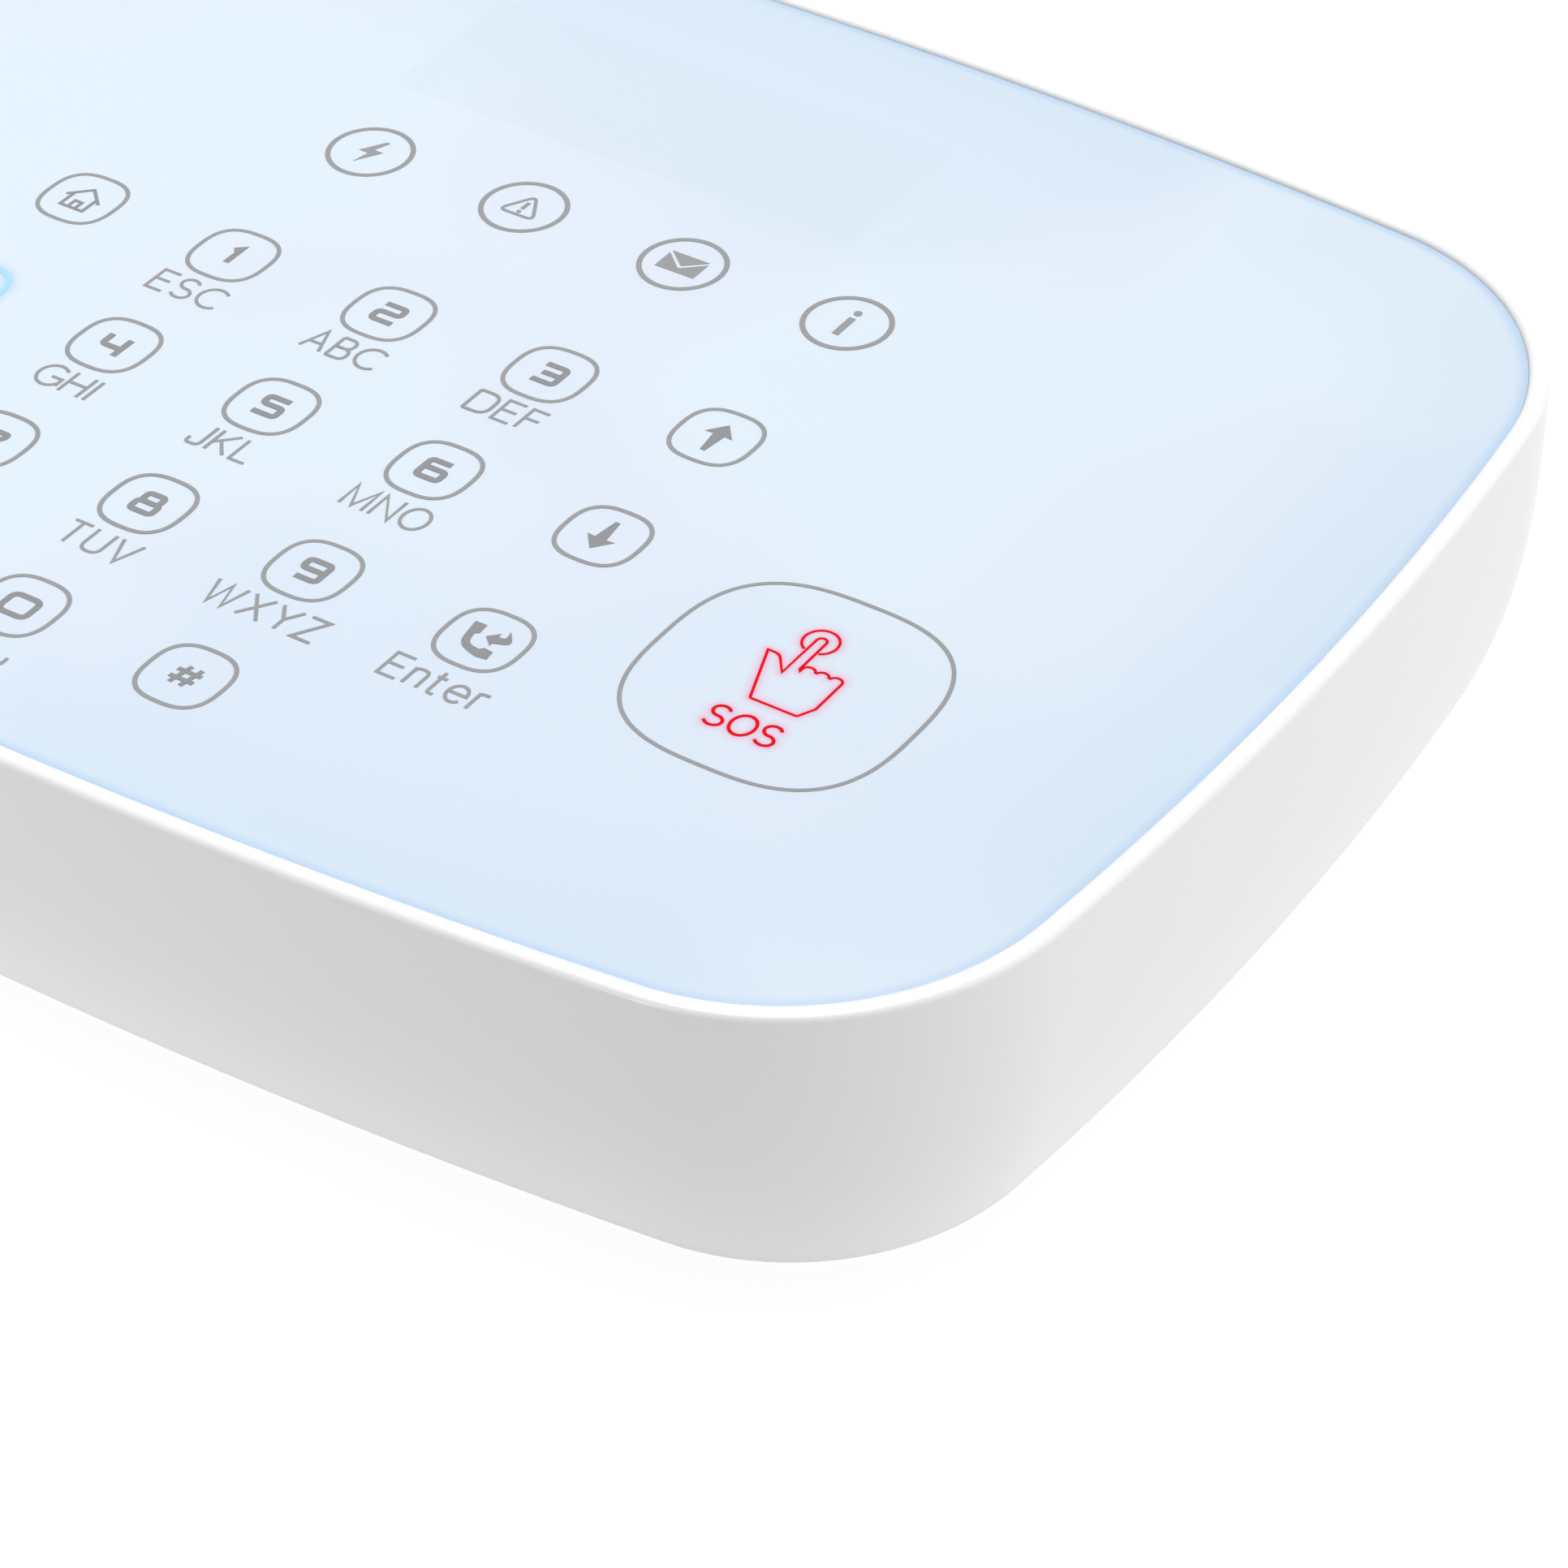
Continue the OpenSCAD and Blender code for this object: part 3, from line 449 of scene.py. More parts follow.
def strips(around, rings, openRings=0, openAround=0):
    # four-sided faces between rings of points; both ways close up unless one is left open
    faces = []
    for j in range(rings - openRings):
        above = (j + 1) % rings
        for i in range(around - openAround):
            beside = (i + 1) % around
            faces.append((j * around + i, j * around + beside, above * around + beside, above * around + i))
    return faces


def sweep(section):
    # carries a closed section of (inset, z) once round the outline
    points = []
    for inset, z in section:
        points += [(p.x, p.y, z) for p in outline(inset)]
    return points, strips(len(points) // len(section), len(section))


def roundRect(width, height, radius, steps=6):
    points = []
    for sx, sy, start in ((1, 1, 0), (-1, 1, 90), (-1, -1, 180), (1, -1, 270)):
        centre = Vector((sx * (width / 2 - radius), sy * (height / 2 - radius)))
        for k in range(steps + 1):
            turn = math.radians(start + 90 * k / steps)
            points.append(centre + radius * Vector((math.cos(turn), math.sin(turn))))
    return points


def loft(rings):
    # joins rings of equally many points and closes both ends
    around = len(rings[0])
    points = [p for ring in rings for p in ring]
    faces = [tuple(range(around))[::-1]] + strips(around, len(rings), 1)
    last = (len(rings) - 1) * around
    faces.append(tuple(range(last, last + around)))
    return points, faces


def merge(shapes):
    points = []
    faces = []
    for morePoints, moreFaces in shapes:
        start = len(points)
        points += morePoints
        faces += [tuple(i + start for i in face) for face in moreFaces]
    return points, faces


def lathe(at, section, steps):
    # turns (radius, z) points about an upright axis; the section is closed
    points = []
    for radius, z in section:
        for k in range(steps):
            turn = 2 * math.pi * k / steps
            points.append((at[0] + radius * math.cos(turn), at[1] + radius * math.sin(turn), z))
    return points, strips(steps, len(section))


def carve(piece, cutter):
    # takes one mesh of cutters out of a piece
    tool = addMesh("cutter", *merge(cutter), whiteShell)
    faceOut(tool)
    modifier = piece.modifiers.new("cut", "BOOLEAN")
    modifier.operation = "DIFFERENCE"
    modifier.solver = "EXACT"
    modifier.object = tool
    settle(piece)
    bpy.data.objects.remove(tool)


windowCut = {
    "room": 0.3,         # round a port, in its window
    "bevel": 0.4,
    "corner": 0.7,
    "cornerShare": 0.4,  # of a low port's height, which its corner never passes
    "outside": 1,        # how far a cutter stands out of the skirt
    "inside": 6,
    "micHole": 0.8,
}


def windowShape(yMid, zMid, width, height, corner):
    # a cutter along X whose outer end flares, which leaves a bevelled window
    face = skirtLeft(yMid, zMid)
    bevel = windowCut["bevel"]
    outside = windowCut["outside"]
    rings = []
    steps = ((face - outside, bevel + outside), (face + bevel, 0), (face + windowCut["inside"], 0))
    for x, grow in steps:
        ring = roundRect(width + 2 * grow, height + 2 * grow, corner + grow)
        rings.append([(x, yMid + p.x, zMid + p.y) for p in ring])
    return loft(rings)


def portWindows():
    room = windowCut["room"]
    corner = windowCut["corner"]
    shapes = []
    for node in ("power_socket", "siren_socket", "sim_tray"):
        low, high = nodeBox(node)
        at = (low + high) / 2
        height = high.z - low.z + 2 * room
        shapes.append(windowShape(at.y, at.z, high.y - low.y + 2 * room, height,
                                  min(corner, height * windowCut["cornerShare"])))
    low, high = nodeBox("switch_knob")
    travel = [j for j in frame["joints"] if j["child"] == "knob"][0]["range_m"][1] / mm
    height = high.z - low.z + 2 * room
    shapes.append(windowShape((low.y + high.y + travel) / 2, (low.z + high.z) / 2,
                              high.y - low.y + travel + 2 * room, height, corner))
    mic = middle(nodeBox("microphone"))
    hole = 2 * windowCut["micHole"]
    shapes.append(windowShape(mic.y, mic.z, hole, hole, hole / 2 - 0.01))
    return shapes


def frontShell():
    cut = shellCut
    foot = cut["footRound"]
    straight = depth - cut["rimRound"]
    section = []
    for k in range(cut["footSteps"] + 1):
        turn = math.radians(90 * k / cut["footSteps"])
        section.append((skirtInset(foot) + foot * (1 - math.sin(turn)), foot * (1 - math.cos(turn))))
    for k in range(1, cut["skirtRings"]):
        z = foot + (straight - foot) * k / cut["skirtRings"]
        section.append((skirtInset(z), z))
    for k in range(cut["rimSteps"] + 1):
        turn = math.radians(90 * k / cut["rimSteps"])
        section.append((cut["rimRound"] * (1 - math.cos(turn)), straight + cut["rimRound"] * math.sin(turn)))
    for k in range(cut["lipSteps"] + 1):
        turn = math.radians(90 * k / cut["lipSteps"])
        section.append((cut["rim"] - cut["lipRound"] * (1 - math.sin(turn)),
                        depth - cut["lipRound"] * (1 - math.cos(turn))))
    ledgeTop = nodeBox("lens_tape")[0].z
    mouth = cut["curl"] + cut["wall"]
    innerTop = cut["innerStraight"]
    section += [
        (cut["rim"], ledgeTop),
        (cut["rim"] + cut["ledge"], ledgeTop),
        (cut["rim"] + cut["ledge"], ledgeTop - cut["ledgeThick"]),
        (cut["wall"] + cut["ledgeFoot"], ledgeTop - cut["ledgeThick"] - cut["ledgeSlope"]),
        (cut["wall"] + skirtInset(innerTop), innerTop),
        (mouth, cut["mouthTall"]),
        (mouth, foot),
        (mouth - foot * 0.3, foot * 0.3),
        (mouth - foot, 0),
    ]
    piece = addMesh("frontShell", *sweep(section), whiteShell)
    faceOut(piece)
    carve(piece, portWindows())
    smooth(piece)
    return piece


postCut = {
    "radius": 3.6,
    "hole": 1.35,
    "seat": 0.3,         # bevel where the post meets the rear cover
    "foot": 4.1,         # above the bottom of the rear cover
    "topGap": 0.4,
    "steps": 36,
}


def screwPosts():
    # the posts inside the shell that the rear screws bite into
    post = postCut
    top = nodeBox("lens_tape")[0].z - post["topGap"]
    base = nodeBox("rear_cover")[0].z + post["foot"]
    section = [
        (post["hole"], base),
        (post["radius"] - post["seat"], base),
        (post["radius"], base + post["seat"]),
        (post["radius"], top),
        (post["hole"], top),
    ]
    shapes = [lathe(middle(box), section, post["steps"]) for box in islands("rear_screws")]
    piece = addMesh("screwPosts", *merge(shapes), innerWhite)
    faceOut(piece)
    smooth(piece)
    return piece


shell = frontShell()
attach(shell, "panel")
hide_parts("front_housing")
posts = screwPosts()
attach(posts, "panel")
print("front shell made:", len(shell.data.polygons), "faces")

faceCut = {
    "gap": 0.005,
    "bevel": 0.07,
    "rings": (0.6, 1.2, 2.4, 4.5, 8, 13, 19, 24),    # further rings, by their distance from the edge
    "middle": tone(208, 220, 230),
    "lilac": tone(209, 216, 230),
    "outer": tone(196, 212, 227),
    # painted light: colour of the blue band of edge glow and rim shade along the face's edge
    "edge": tone(170, 197, 225),
    "window": tone(197, 209, 221),
    "lilacPatch": (42, 0.42, 0.6),   # size of its clouds, and the noise it starts and ends at
    "lilacShare": 0.8,
    "coolPatch": (60, 0.5, 0.62),
    "coolShare": 0.35,
    "rimPatch": (38, 0.34, 0.56),
    "rimShare": 0.8,
    "rimReach": 21,
    "windowInset": Vector((4, 3, 0)),
    "windowShare": 0.3,
    # painted light: where the painted edge glow and rim shade band starts and ends, in millimetres from the
    # edge, and how strongly it shows
    "edgeBand": (0.1, 1.3),
    "edgeShare": 0.7,
}


def faceFinish():
    # pale blue acrylic over a lit film, bluer towards its edge, with a painted band of edge glow and rim
    # shade along the very edge
    made = Finish("faceAcrylic", {"IOR": 1.49, "Coat Weight": 0.3, "Coat Roughness": 0.12})
    place = made.place()
    far = made.read("fromEdge")
    lilac, cool, rimward = [made.rise(made.noise(place, size, 1), start, end) for size, start, end in
                            (faceCut["lilacPatch"], faceCut["coolPatch"], faceCut["rimPatch"])]
    colour = made.mix(lilac * faceCut["lilacShare"], faceCut["middle"], faceCut["lilac"])
    colour = made.mix(cool * faceCut["coolShare"], colour, faceCut["outer"])
    rimward = (1 - made.rise(far, 0, faceCut["rimReach"])) * rimward
    colour = made.mix(rimward * faceCut["rimShare"], colour, faceCut["outer"])
    low, high = nodeBox("display_module")
    at = (low + high) / 2
    half = (high - low) / 2 - faceCut["windowInset"]
    awayX = abs(made.part(place, "X") - at.x) - half.x
    awayY = abs(made.part(place, "Y") - at.y) - half.y
    window = 1 - made.rise(awayX.most(awayY), -0.5, 0.5)
    colour = made.mix(window * faceCut["windowShare"], colour, faceCut["window"])
    # painted edge glow and rim shade: a blue band over the outermost millimetre of the face
    edge = 1 - made.rise(far, *faceCut["edgeBand"])
    colour = made.mix(edge * faceCut["edgeShare"], colour, faceCut["edge"])
    made.feed("Base Color", colour)
    made.feed("Roughness", 0.3 + made.noise(place, 1.5, 3) * 0.06)
    made.bump(made.noise(place, 3, 2), 0.0012)
    return made.material


def faceSheet(finish):
    low, high = nodeBox("face_lens")
    inset = shellCut["rim"] + faceCut["gap"]
    bevel = faceCut["bevel"]
    levels = [(0, low.z), (0, high.z - bevel), (bevel * 0.3, high.z - bevel * 0.3), (bevel, high.z)]
    levels += [(ring, high.z) for ring in faceCut["rings"]]
    rings = [[(p.x, p.y, z) for p in outline(inset + away)] for away, z in levels]
    piece = addMesh("faceSheet", *loft(rings), finish)
    faceOut(piece)
    around = len(rings[0])
    mark = piece.data.attributes.new("fromEdge", "FLOAT", "POINT")
    mark.data.foreach_set("value", [away for away, z in levels for k in range(around)])
    smooth(piece, 25)
    return piece


acrylic = faceFinish()
sheet = faceSheet(acrylic)
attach(sheet, "panel")
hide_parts("face_lens")
faceTop = nodeBox("face_lens")[1].z
print("face made")


def fillet(points, radius, closed=False, steps=6):
    # rounds the corners of a line of points
    points = [Vector(p) for p in points]
    count = len(points)
    rounded = []
    for k, here in enumerate(points):
        if radius == 0 or (not closed and k in (0, count - 1)):
            rounded.append(here)
            continue
        back = points[k - 1] - here
        ahead = points[(k + 1) % count] - here
        half = back.angle(ahead) / 2
        reach = min(radius / math.tan(half), back.length * 0.499, ahead.length * 0.499)
        start = here + back.normalized() * reach
        end = here + ahead.normalized() * reach
        for j in range(steps + 1):
            t = j / steps
            rounded.append(start * (1 - t) ** 2 + here * 2 * t * (1 - t) + end * t ** 2)
    return rounded


def oval(x, y, rx, ry, start=0, end=360, steps=32):
    points = []
    for k in range(steps + 1):
        turn = math.radians(start + (end - start) * k / steps)
        points.append(Vector((x + rx * math.cos(turn), y + ry * math.sin(turn))))
    return points


def squircle(at, halfX, halfY, power, steps=72):
    # a square with bowed sides and soft corners
    points = []
    for k in range(steps):
        turn = 2 * math.pi * k / steps
        cos, sin = math.cos(turn), math.sin(turn)
        points.append(Vector((at[0] + halfX * math.copysign(abs(cos) ** (2 / power), cos),
                              at[1] + halfY * math.copysign(abs(sin) ** (2 / power), sin))))
    return points


def pen(*points, radius=0.0):
    return fillet(points, radius)


def bowl(width, low, high):
    # the round side of B, D, P and R
    return fillet([(0, high), (width, high), (width, low), (0, low)], (high - low) * 0.5)


def hook(width, low, high, radius):
    return fillet([(0, low), (0, high), (width, high), (width, low)], radius)


# each letter is its width and its pen strokes, in a cell one unit high
letterForms = {
    "A": (0.72, [pen((0, 0), (0.36, 1), (0.72, 0)), pen((0.12, 0.34), (0.6, 0.34))]),
    "B": (0.6, [pen((0, 0), (0, 1)), bowl(0.54, 0.52, 1), bowl(0.6, 0, 0.52)]),
    "C": (0.78, [oval(0.48, 0.5, 0.48, 0.5, 48, 312)]),
    "D": (0.78, [pen((0, 0), (0, 1)), bowl(0.78, 0, 1)]),
    "E": (0.6, [pen((0.6, 1), (0, 1), (0, 0), (0.6, 0)), pen((0, 0.52), (0.54, 0.52))]),
    "F": (0.56, [pen((0.56, 1), (0, 1), (0, 0)), pen((0, 0.52), (0.5, 0.52))]),
    "G": (0.84, [oval(0.47, 0.5, 0.47, 0.5, 46, 330), pen((0.5, 0.46), (0.88, 0.46), (0.88, 0.12))]),
    "H": (0.68, [pen((0, 0), (0, 1)), pen((0.68, 0), (0.68, 1)), pen((0, 0.52), (0.68, 0.52))]),
    "I": (0.02, [pen((0.01, 0), (0.01, 1))]),
    "J": (0.46, [pen((0.46, 1), (0.46, 0), (0, 0), (0, 0.26), radius=0.22)]),
    "K": (0.66, [pen((0, 0), (0, 1)), pen((0.64, 1), (0, 0.38)), pen((0.2, 0.57), (0.66, 0))]),
    "L": (0.54, [pen((0, 1), (0, 0), (0.54, 0))]),
    "M": (0.78, [pen((0, 0), (0, 1), (0.39, 0.06), (0.78, 1), (0.78, 0))]),
    "N": (0.66, [pen((0, 0), (0, 1), (0.66, 0), (0.66, 1))]),
    "O": (0.84, [oval(0.42, 0.5, 0.42, 0.5)]),
    "P": (0.6, [pen((0, 0), (0, 1)), bowl(0.6, 0.46, 1)]),
    "Q": (0.88, [oval(0.43, 0.5, 0.43, 0.5), pen((0.56, 0.26), (0.88, -0.04))]),
    "R": (0.62, [pen((0, 0), (0, 1)), bowl(0.58, 0.48, 1), pen((0.3, 0.48), (0.62, 0))]),
    "S": (0.62, [oval(0.31, 0.745, 0.29, 0.255, 28, 262, 18) + oval(0.31, 0.25, 0.31, 0.25, 82, -152, 18)]),
    "T": (0.64, [pen((0, 1), (0.64, 1)), pen((0.32, 1), (0.32, 0))]),
    "U": (0.64, [pen((0, 1), (0, 0), (0.64, 0), (0.64, 1), radius=0.31)]),
    "V": (0.74, [pen((0, 1), (0.37, 0), (0.74, 1))]),
    "W": (1.04, [pen((0, 1), (0.27, 0), (0.52, 0.96), (0.77, 0), (1.04, 1))]),
    "X": (0.74, [pen((0, 0), (0.72, 1)), pen((0.02, 1), (0.74, 0))]),
    "Y": (0.72, [pen((0, 1), (0.36, 0.46), (0.72, 1)), pen((0.36, 0.46), (0.36, 0))]),
    "Z": (0.66, [pen((0.02, 1), (0.64, 1), (0, 0), (0.66, 0))]),
    "n": (0.46, [pen((0, 0), (0, 0.74)), hook(0.46, 0, 0.74, 0.2)]),
    "t": (0.34, [pen((0.12, 0.96), (0.12, 0), (0.34, 0), radius=0.1), pen((0, 0.72), (0.32, 0.72))]),
    "e": (0.6, [pen((0.02, 0.38), (0.6, 0.38)) + oval(0.3, 0.37, 0.3, 0.37, 2, 318, 26)]),
    "r": (0.3, [pen((0, 0), (0, 0.74)), pen((0, 0.46), (0, 0.74), (0.3, 0.74), radius=0.2)]),
}

# figures are wide and square-shouldered, drawn about their middle in millimetres
figureForms = {
    "1": [pen((-0.5, 0.75), (0.1, 1.25), (0.1, -1.25))],
    "2": [pen((-1.15, 1.25), (1.15, 1.25), (1.15, 0.05), (-1.15, 0.05), (-1.15, -1.25), (1.2, -1.25),
              radius=0.45)],
    "3": [pen((-1.15, 1.25), (1.15, 1.25), (1.15, -1.25), (-1.15, -1.25), radius=0.5),
          pen((-0.8, 0.02), (1.1, 0.02))],
    "4": [pen((-1.15, 1.3), (-1.15, -0.3), (1.25, -0.3), radius=0.4), pen((0.95, 1.3), (0.95, -1.4))],
    "5": [pen((1.15, 1.25), (-1.05, 1.25), (-1.05, 0.12), (1.15, 0.12), (1.15, -1.25), (-1.2, -1.25),
              radius=0.42)],
    "6": [pen((0.95, 1.25), (-1.15, 1.25), (-1.15, -1.25), (1.15, -1.25), (1.15, 0.12), (-1.1, 0.12),
              radius=0.45)],
    "7": [pen((-1.15, 1.25), (1.05, 1.25), (1.05, 0.75), (-0.3, -1.3), radius=0.3)],
    "8": [fillet([(-0.9, 1.3), (0.9, 1.3), (0.9, 0.1), (-0.9, 0.1)], 0.45, True),
          fillet([(-1.15, 0.1), (1.15, 0.1), (1.15, -1.25), (-1.15, -1.25)], 0.45, True)],
    "9": [pen((-0.95, -1.25), (1.15, -1.25), (1.15, 1.25), (-1.15, 1.25), (-1.15, 0.02), (1.1, 0.02),
              radius=0.45)],
    "0": [fillet([(-1.45, 1.25), (1.45, 1.25), (1.45, -1.25), (-1.45, -1.25)], 0.75, True)],
    "*": [pen((0, -1.2), (0, 1.2)), pen((-1.05, -0.6), (1.05, 0.6)), pen((-1.05, 0.6), (1.05, -0.6))],
    "#": [pen((-0.75, -1.25), (-0.3, 1.25)), pen((0.35, -1.25), (0.8, 1.25)),
          pen((-1.2, 0.5), (1.25, 0.5)), pen((-1.3, -0.5), (1.15, -0.5))],
}


inkLayer = {
    "lift": 0.03,        # of the lowest print over the face
    "thick": 0.04,
    "levels": 12,
    "step": 0.002,       # from one level to the next
    "climb": 0.0015,     # of an open stroke along its way, so that it can cross itself
    "sample": 0.2,       # spacing of the points kept along a stroke
}


class Print:
    # gathers printed shapes and makes one thin mesh of them, in millimetres
    def __init__(self, name, finish, lift=inkLayer["lift"]):
        self.name = name
        self.finish = finish
        self.top = faceTop + lift
        self.shapes = []
        self.trail = []

    def level(self):
        # neighbouring shapes lie at different heights, so that no two faces coincide
        return self.top + len(self.shapes) % inkLayer["levels"] * inkLayer["step"]

    def plate(self, at, points):
        ring = [Vector(at) + Vector(p) for p in points]
        top = self.level()
        self.shapes.append(loft([[(p.x, p.y, z) for p in ring] for z in (top - inkLayer["thick"], top)]))

    def line(self, at, points, width, scale=1.0, closed=False):
        # a stroke of even width with mitred corners
        points = [Vector(at) + Vector(p) * scale for p in points]
        count = len(points)
        left = []
        right = []
        for k, here in enumerate(points):
            before = points[k - 1] if closed or k else here
            after = points[(k + 1) % count] if closed or k < count - 1 else here
            way = (here - before).normalized() if before != here else (after - here).normalized()
            onward = (after - here).normalized() if after != here else way
            lean = (way + onward).normalized()
            side = Vector((-lean.y, lean.x))
            stretch = min(1 / max(lean.dot(way), 0.3), 2.2)
            left.append(here + side * stretch * width / 2)
            right.append(here - side * stretch * width / 2)
            steps = max(1, int((after - here).length / inkLayer["sample"]))
            self.trail += [here.lerp(after, j / steps) for j in range(steps)]
        self.band(left, right, closed)

    def band(self, left, right, closed):
        top = self.level()
        count = len(left)
        thick = inkLayer["thick"]
        climb = 0 if closed else inkLayer["climb"]
        points = []
        for ring, sink in ((left, thick), (left, 0), (right, 0), (right, thick)):
            points += [(p.x, p.y, top - sink + climb * k / count) for k, p in enumerate(ring)]
        faces = strips(count, 4, 0, 0 if closed else 1)
        if not closed:
            faces.append(tuple(j * count for j in range(4)))
            faces.append(tuple(j * count + count - 1 for j in range(4)))
        self.shapes.append((points, faces))

    def word(self, at, text, height, width, gap=0.25):
        # a word centred on at, with its feet on at's y
        total = sum(letterForms[c][0] for c in text) + gap * (len(text) - 1)
        x = at[0] - total * height / 2
        for c in text:
            advance, strokes = letterForms[c]
            for stroke in strokes:
                self.line((x, at[1]), stroke, width, height)
            x += (advance + gap) * height

    def build(self):
        piece = addMesh(self.name, *merge(self.shapes), self.finish)
        faceOut(piece)
        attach(piece, "panel")


def inkFinish(name, colour, other):
    made = Finish(name, {"IOR": 1.5, "Coat Weight": 0.3, "Coat Roughness": 0.15})
    speck = made.noise(made.place(), 0.25, 3)
    made.feed("Base Color", made.mix(speck, colour, other))
    made.feed("Roughness", 0.4 + speck * 0.1)
    return made.material


def litFinish(name, colour, other, strength):
    made = Finish(name, {"Specular IOR Level": 0.05, "Roughness": 0.4, "Emission Strength": strength})
    speck = made.noise(made.place(), 0.6, 2)
    shade = made.mix(speck, colour, other)
    made.feed("Base Color", shade)
    made.feed("Emission Color", shade)
    return made.material


def haloFinish(name, colour, strength, most):
    # light that spreads in the acrylic round a lit line, thinning out with distance
    made = Finish(name, {"IOR": 1.5, "Roughness": 0.5, "Emission Strength": strength})
    glow = made.read("glow")
    pale = tuple(0.4 + c * 0.6 for c in colour[:3]) + (1,)
    made.feed("Base Color", made.mix(glow, pale, colour))
    made.feed("Emission Color", made.mix(glow, pale, colour))
    made.feed("Alpha", glow * most)
    return made.material


hazeCut = {
    "lift": 0.012,
    "cells": 5,          # mesh steps in one reach
    "spread": 2.2,       # how many reaches the patch goes out
    "power": 1.4,
    "cutOff": 0.03,
}


def halo(name, trail, reach, finish):
    # a very thin patch over everything within reach of the trail
    tree = kdtree.KDTree(len(trail))
    for k, p in enumerate(trail):
        tree.insert((p.x, p.y, 0), k)
    tree.balance()
    step = reach / hazeCut["cells"]
    far = hazeCut["spread"] * reach
    x0 = min(p.x for p in trail) - far
    y0 = min(p.y for p in trail) - far
    across = int((max(p.x for p in trail) + far - x0) / step) + 1
    upward = int((max(p.y for p in trail) + far - y0) / step) + 1
    points = []
    glows = []
    index = {}
    for j in range(upward + 1):
        for i in range(across + 1):
            here = Vector((x0 + i * step, y0 + j * step, 0))
            away = tree.find(here)[2]
            if away < far:
                index[i, j] = len(points)
                points.append((here.x, here.y, faceTop + hazeCut["lift"]))
                glows.append(max(0.0, math.exp(-(away / reach) ** hazeCut["power"]) - hazeCut["cutOff"]))
    faces = []
    for j in range(upward):
        for i in range(across):
            ring = [(i, j), (i + 1, j), (i + 1, j + 1), (i, j + 1)]
            if all(corner in index for corner in ring):
                faces.append(tuple(index[corner] for corner in ring))
    piece = addMesh(name, points, faces, finish)
    mark = piece.data.attributes.new("glow", "FLOAT", "POINT")
    mark.data.foreach_set("value", glows)
    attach(piece, "panel")


keyPrint = {
    "halfX": 3.76,
    "halfY": 3.84,
    "power": 2.75,
    "line": 0.42,
    "figureLine": 0.62,
    "word": 3.0,         # height of the capitals
    "wordLine": 0.33,
    "wordDrop": 8.05,    # from a key's middle to the feet of its word
    "ringRadius": 4.0,
    "ringLine": 0.5,
    "signLine": 0.34,
    "starShare": 0.75,   # how thin the star and the hash are beside the figures
    "spaceHalf": 3.86,   # the bracket under the 0
    "spaceTop": -6.0,
    "spaceFoot": -6.8,
    "figureLift": 0.034,
    "haze": 0.7,
    "alarmHalf": 12.35,
    "alarmPower": 2.85,
    "alarmLine": 0.38,
    "alarmSteps": 140,
}
ink = inkFinish("legendInk", tone(136, 137, 138), tone(146, 147, 148))
lowered = inkFinish("glyphInk", tone(126, 127, 129), tone(136, 137, 139))
redInk = litFinish("redLight", tone(204, 0, 12), tone(214, 0, 18), 0.1)
blueInk = litFinish("blueLight", tone(150, 202, 238), tone(160, 208, 240), 0.06)
redHaze = haloFinish("redHaze", tone(250, 120, 170), 0.1, 0.36)
blueHaze = haloFinish("blueHaze", tone(168, 208, 240), 0.06, 0.5)


def padPlaces():
    # the touch pads' middles, sorted into rows from the top down, and the wide alarm pad
    pads = [(middle(box), box[1].x - box[0].x) for box in islands("touch_pads")]
    wide = max(size for place, size in pads)
    alarm = [place for place, size in pads if size == wide][0]
    rows = {}
    for place, size in pads:
        if size < wide:
            rows.setdefault(round(place.y), []).append(place.xy)
    return [sorted(rows[y], key=lambda p: p.x) for y in sorted(rows, reverse=True)], alarm.xy


rows, alarmPlace = padPlaces()
outlines = Print("keyOutlines", ink)
figures = Print("keyFigures", lowered, keyPrint["figureLift"])
words = Print("keyWords", ink)
signs = Print("statusSigns", ink)

upArrow = [(0, 2.0), (1.4, 0.3), (0.58, 0.38), (0.24, -2.2), (-0.24, -2.2), (-0.58, 0.38), (-1.4, 0.3)]
handset = (
    [(-2.1, 1.7), (-0.95, 1.75), (-0.85, 0.6), (-1.2, 0.3)]
    + fillet([(-1.2, 0.3), (-0.95, -0.9), (0.3, -1.3)], 1.6)[1:-1]
    + [(0.35, -1.2), (0.7, -0.85), (1.6, -0.95), (1.72, -2.0), (0.6, -2.15)]
    + fillet([(0.6, -2.15), (-1.6, -1.5), (-2.1, 1.7)], 3.4)[1:-1]
)
callArrow = (
    [(-0.15, 0.5), (0.75, 1.4), (0.8, 0.95)]
    + fillet([(0.8, 0.95), (1.5, 1.0), (1.3, 2.05)], 0.7)[1:-1]
    + [(1.3, 2.05)]
    + fillet([(1.3, 2.05), (2.5, 0.6), (0.8, -0.02)], 1.2)[1:-1]
    + [(0.8, -0.02), (0.85, -0.4)]
)


def flipped(points):
    return [(p[0], -p[1]) for p in points]


def lockSign(press, at, line, opened):
    lift = 0.75 if opened else 0
    body = fillet([(-1.3, -1.7), (1.3, -1.7), (1.3, 0.25), (-1.3, 0.25)], 0.3, True)
    press.line(at, body, line, closed=True)
    shackle = [(-0.8, 0.3)] + oval(0, 0.9 + lift, 0.8, 0.85, 180, 0, 16)
    press.line(at, shackle if opened else shackle + [(0.8, 0.3)], line)
    press.line(at, [(0, -0.5), (0, -1.0)], line)


def houseSign(press, at, line):
    press.line(at, [(-1.9, -0.1), (0, 1.7), (1.9, -0.1)], line)
    press.line(at, [(-1.3, 0.3), (-1.3, -1.7), (1.3, -1.7), (1.3, 0.3)], line)
    press.line(at, [(-0.4, -1.7), (-0.4, -0.6), (0.4, -0.6), (0.4, -1.7)], line)


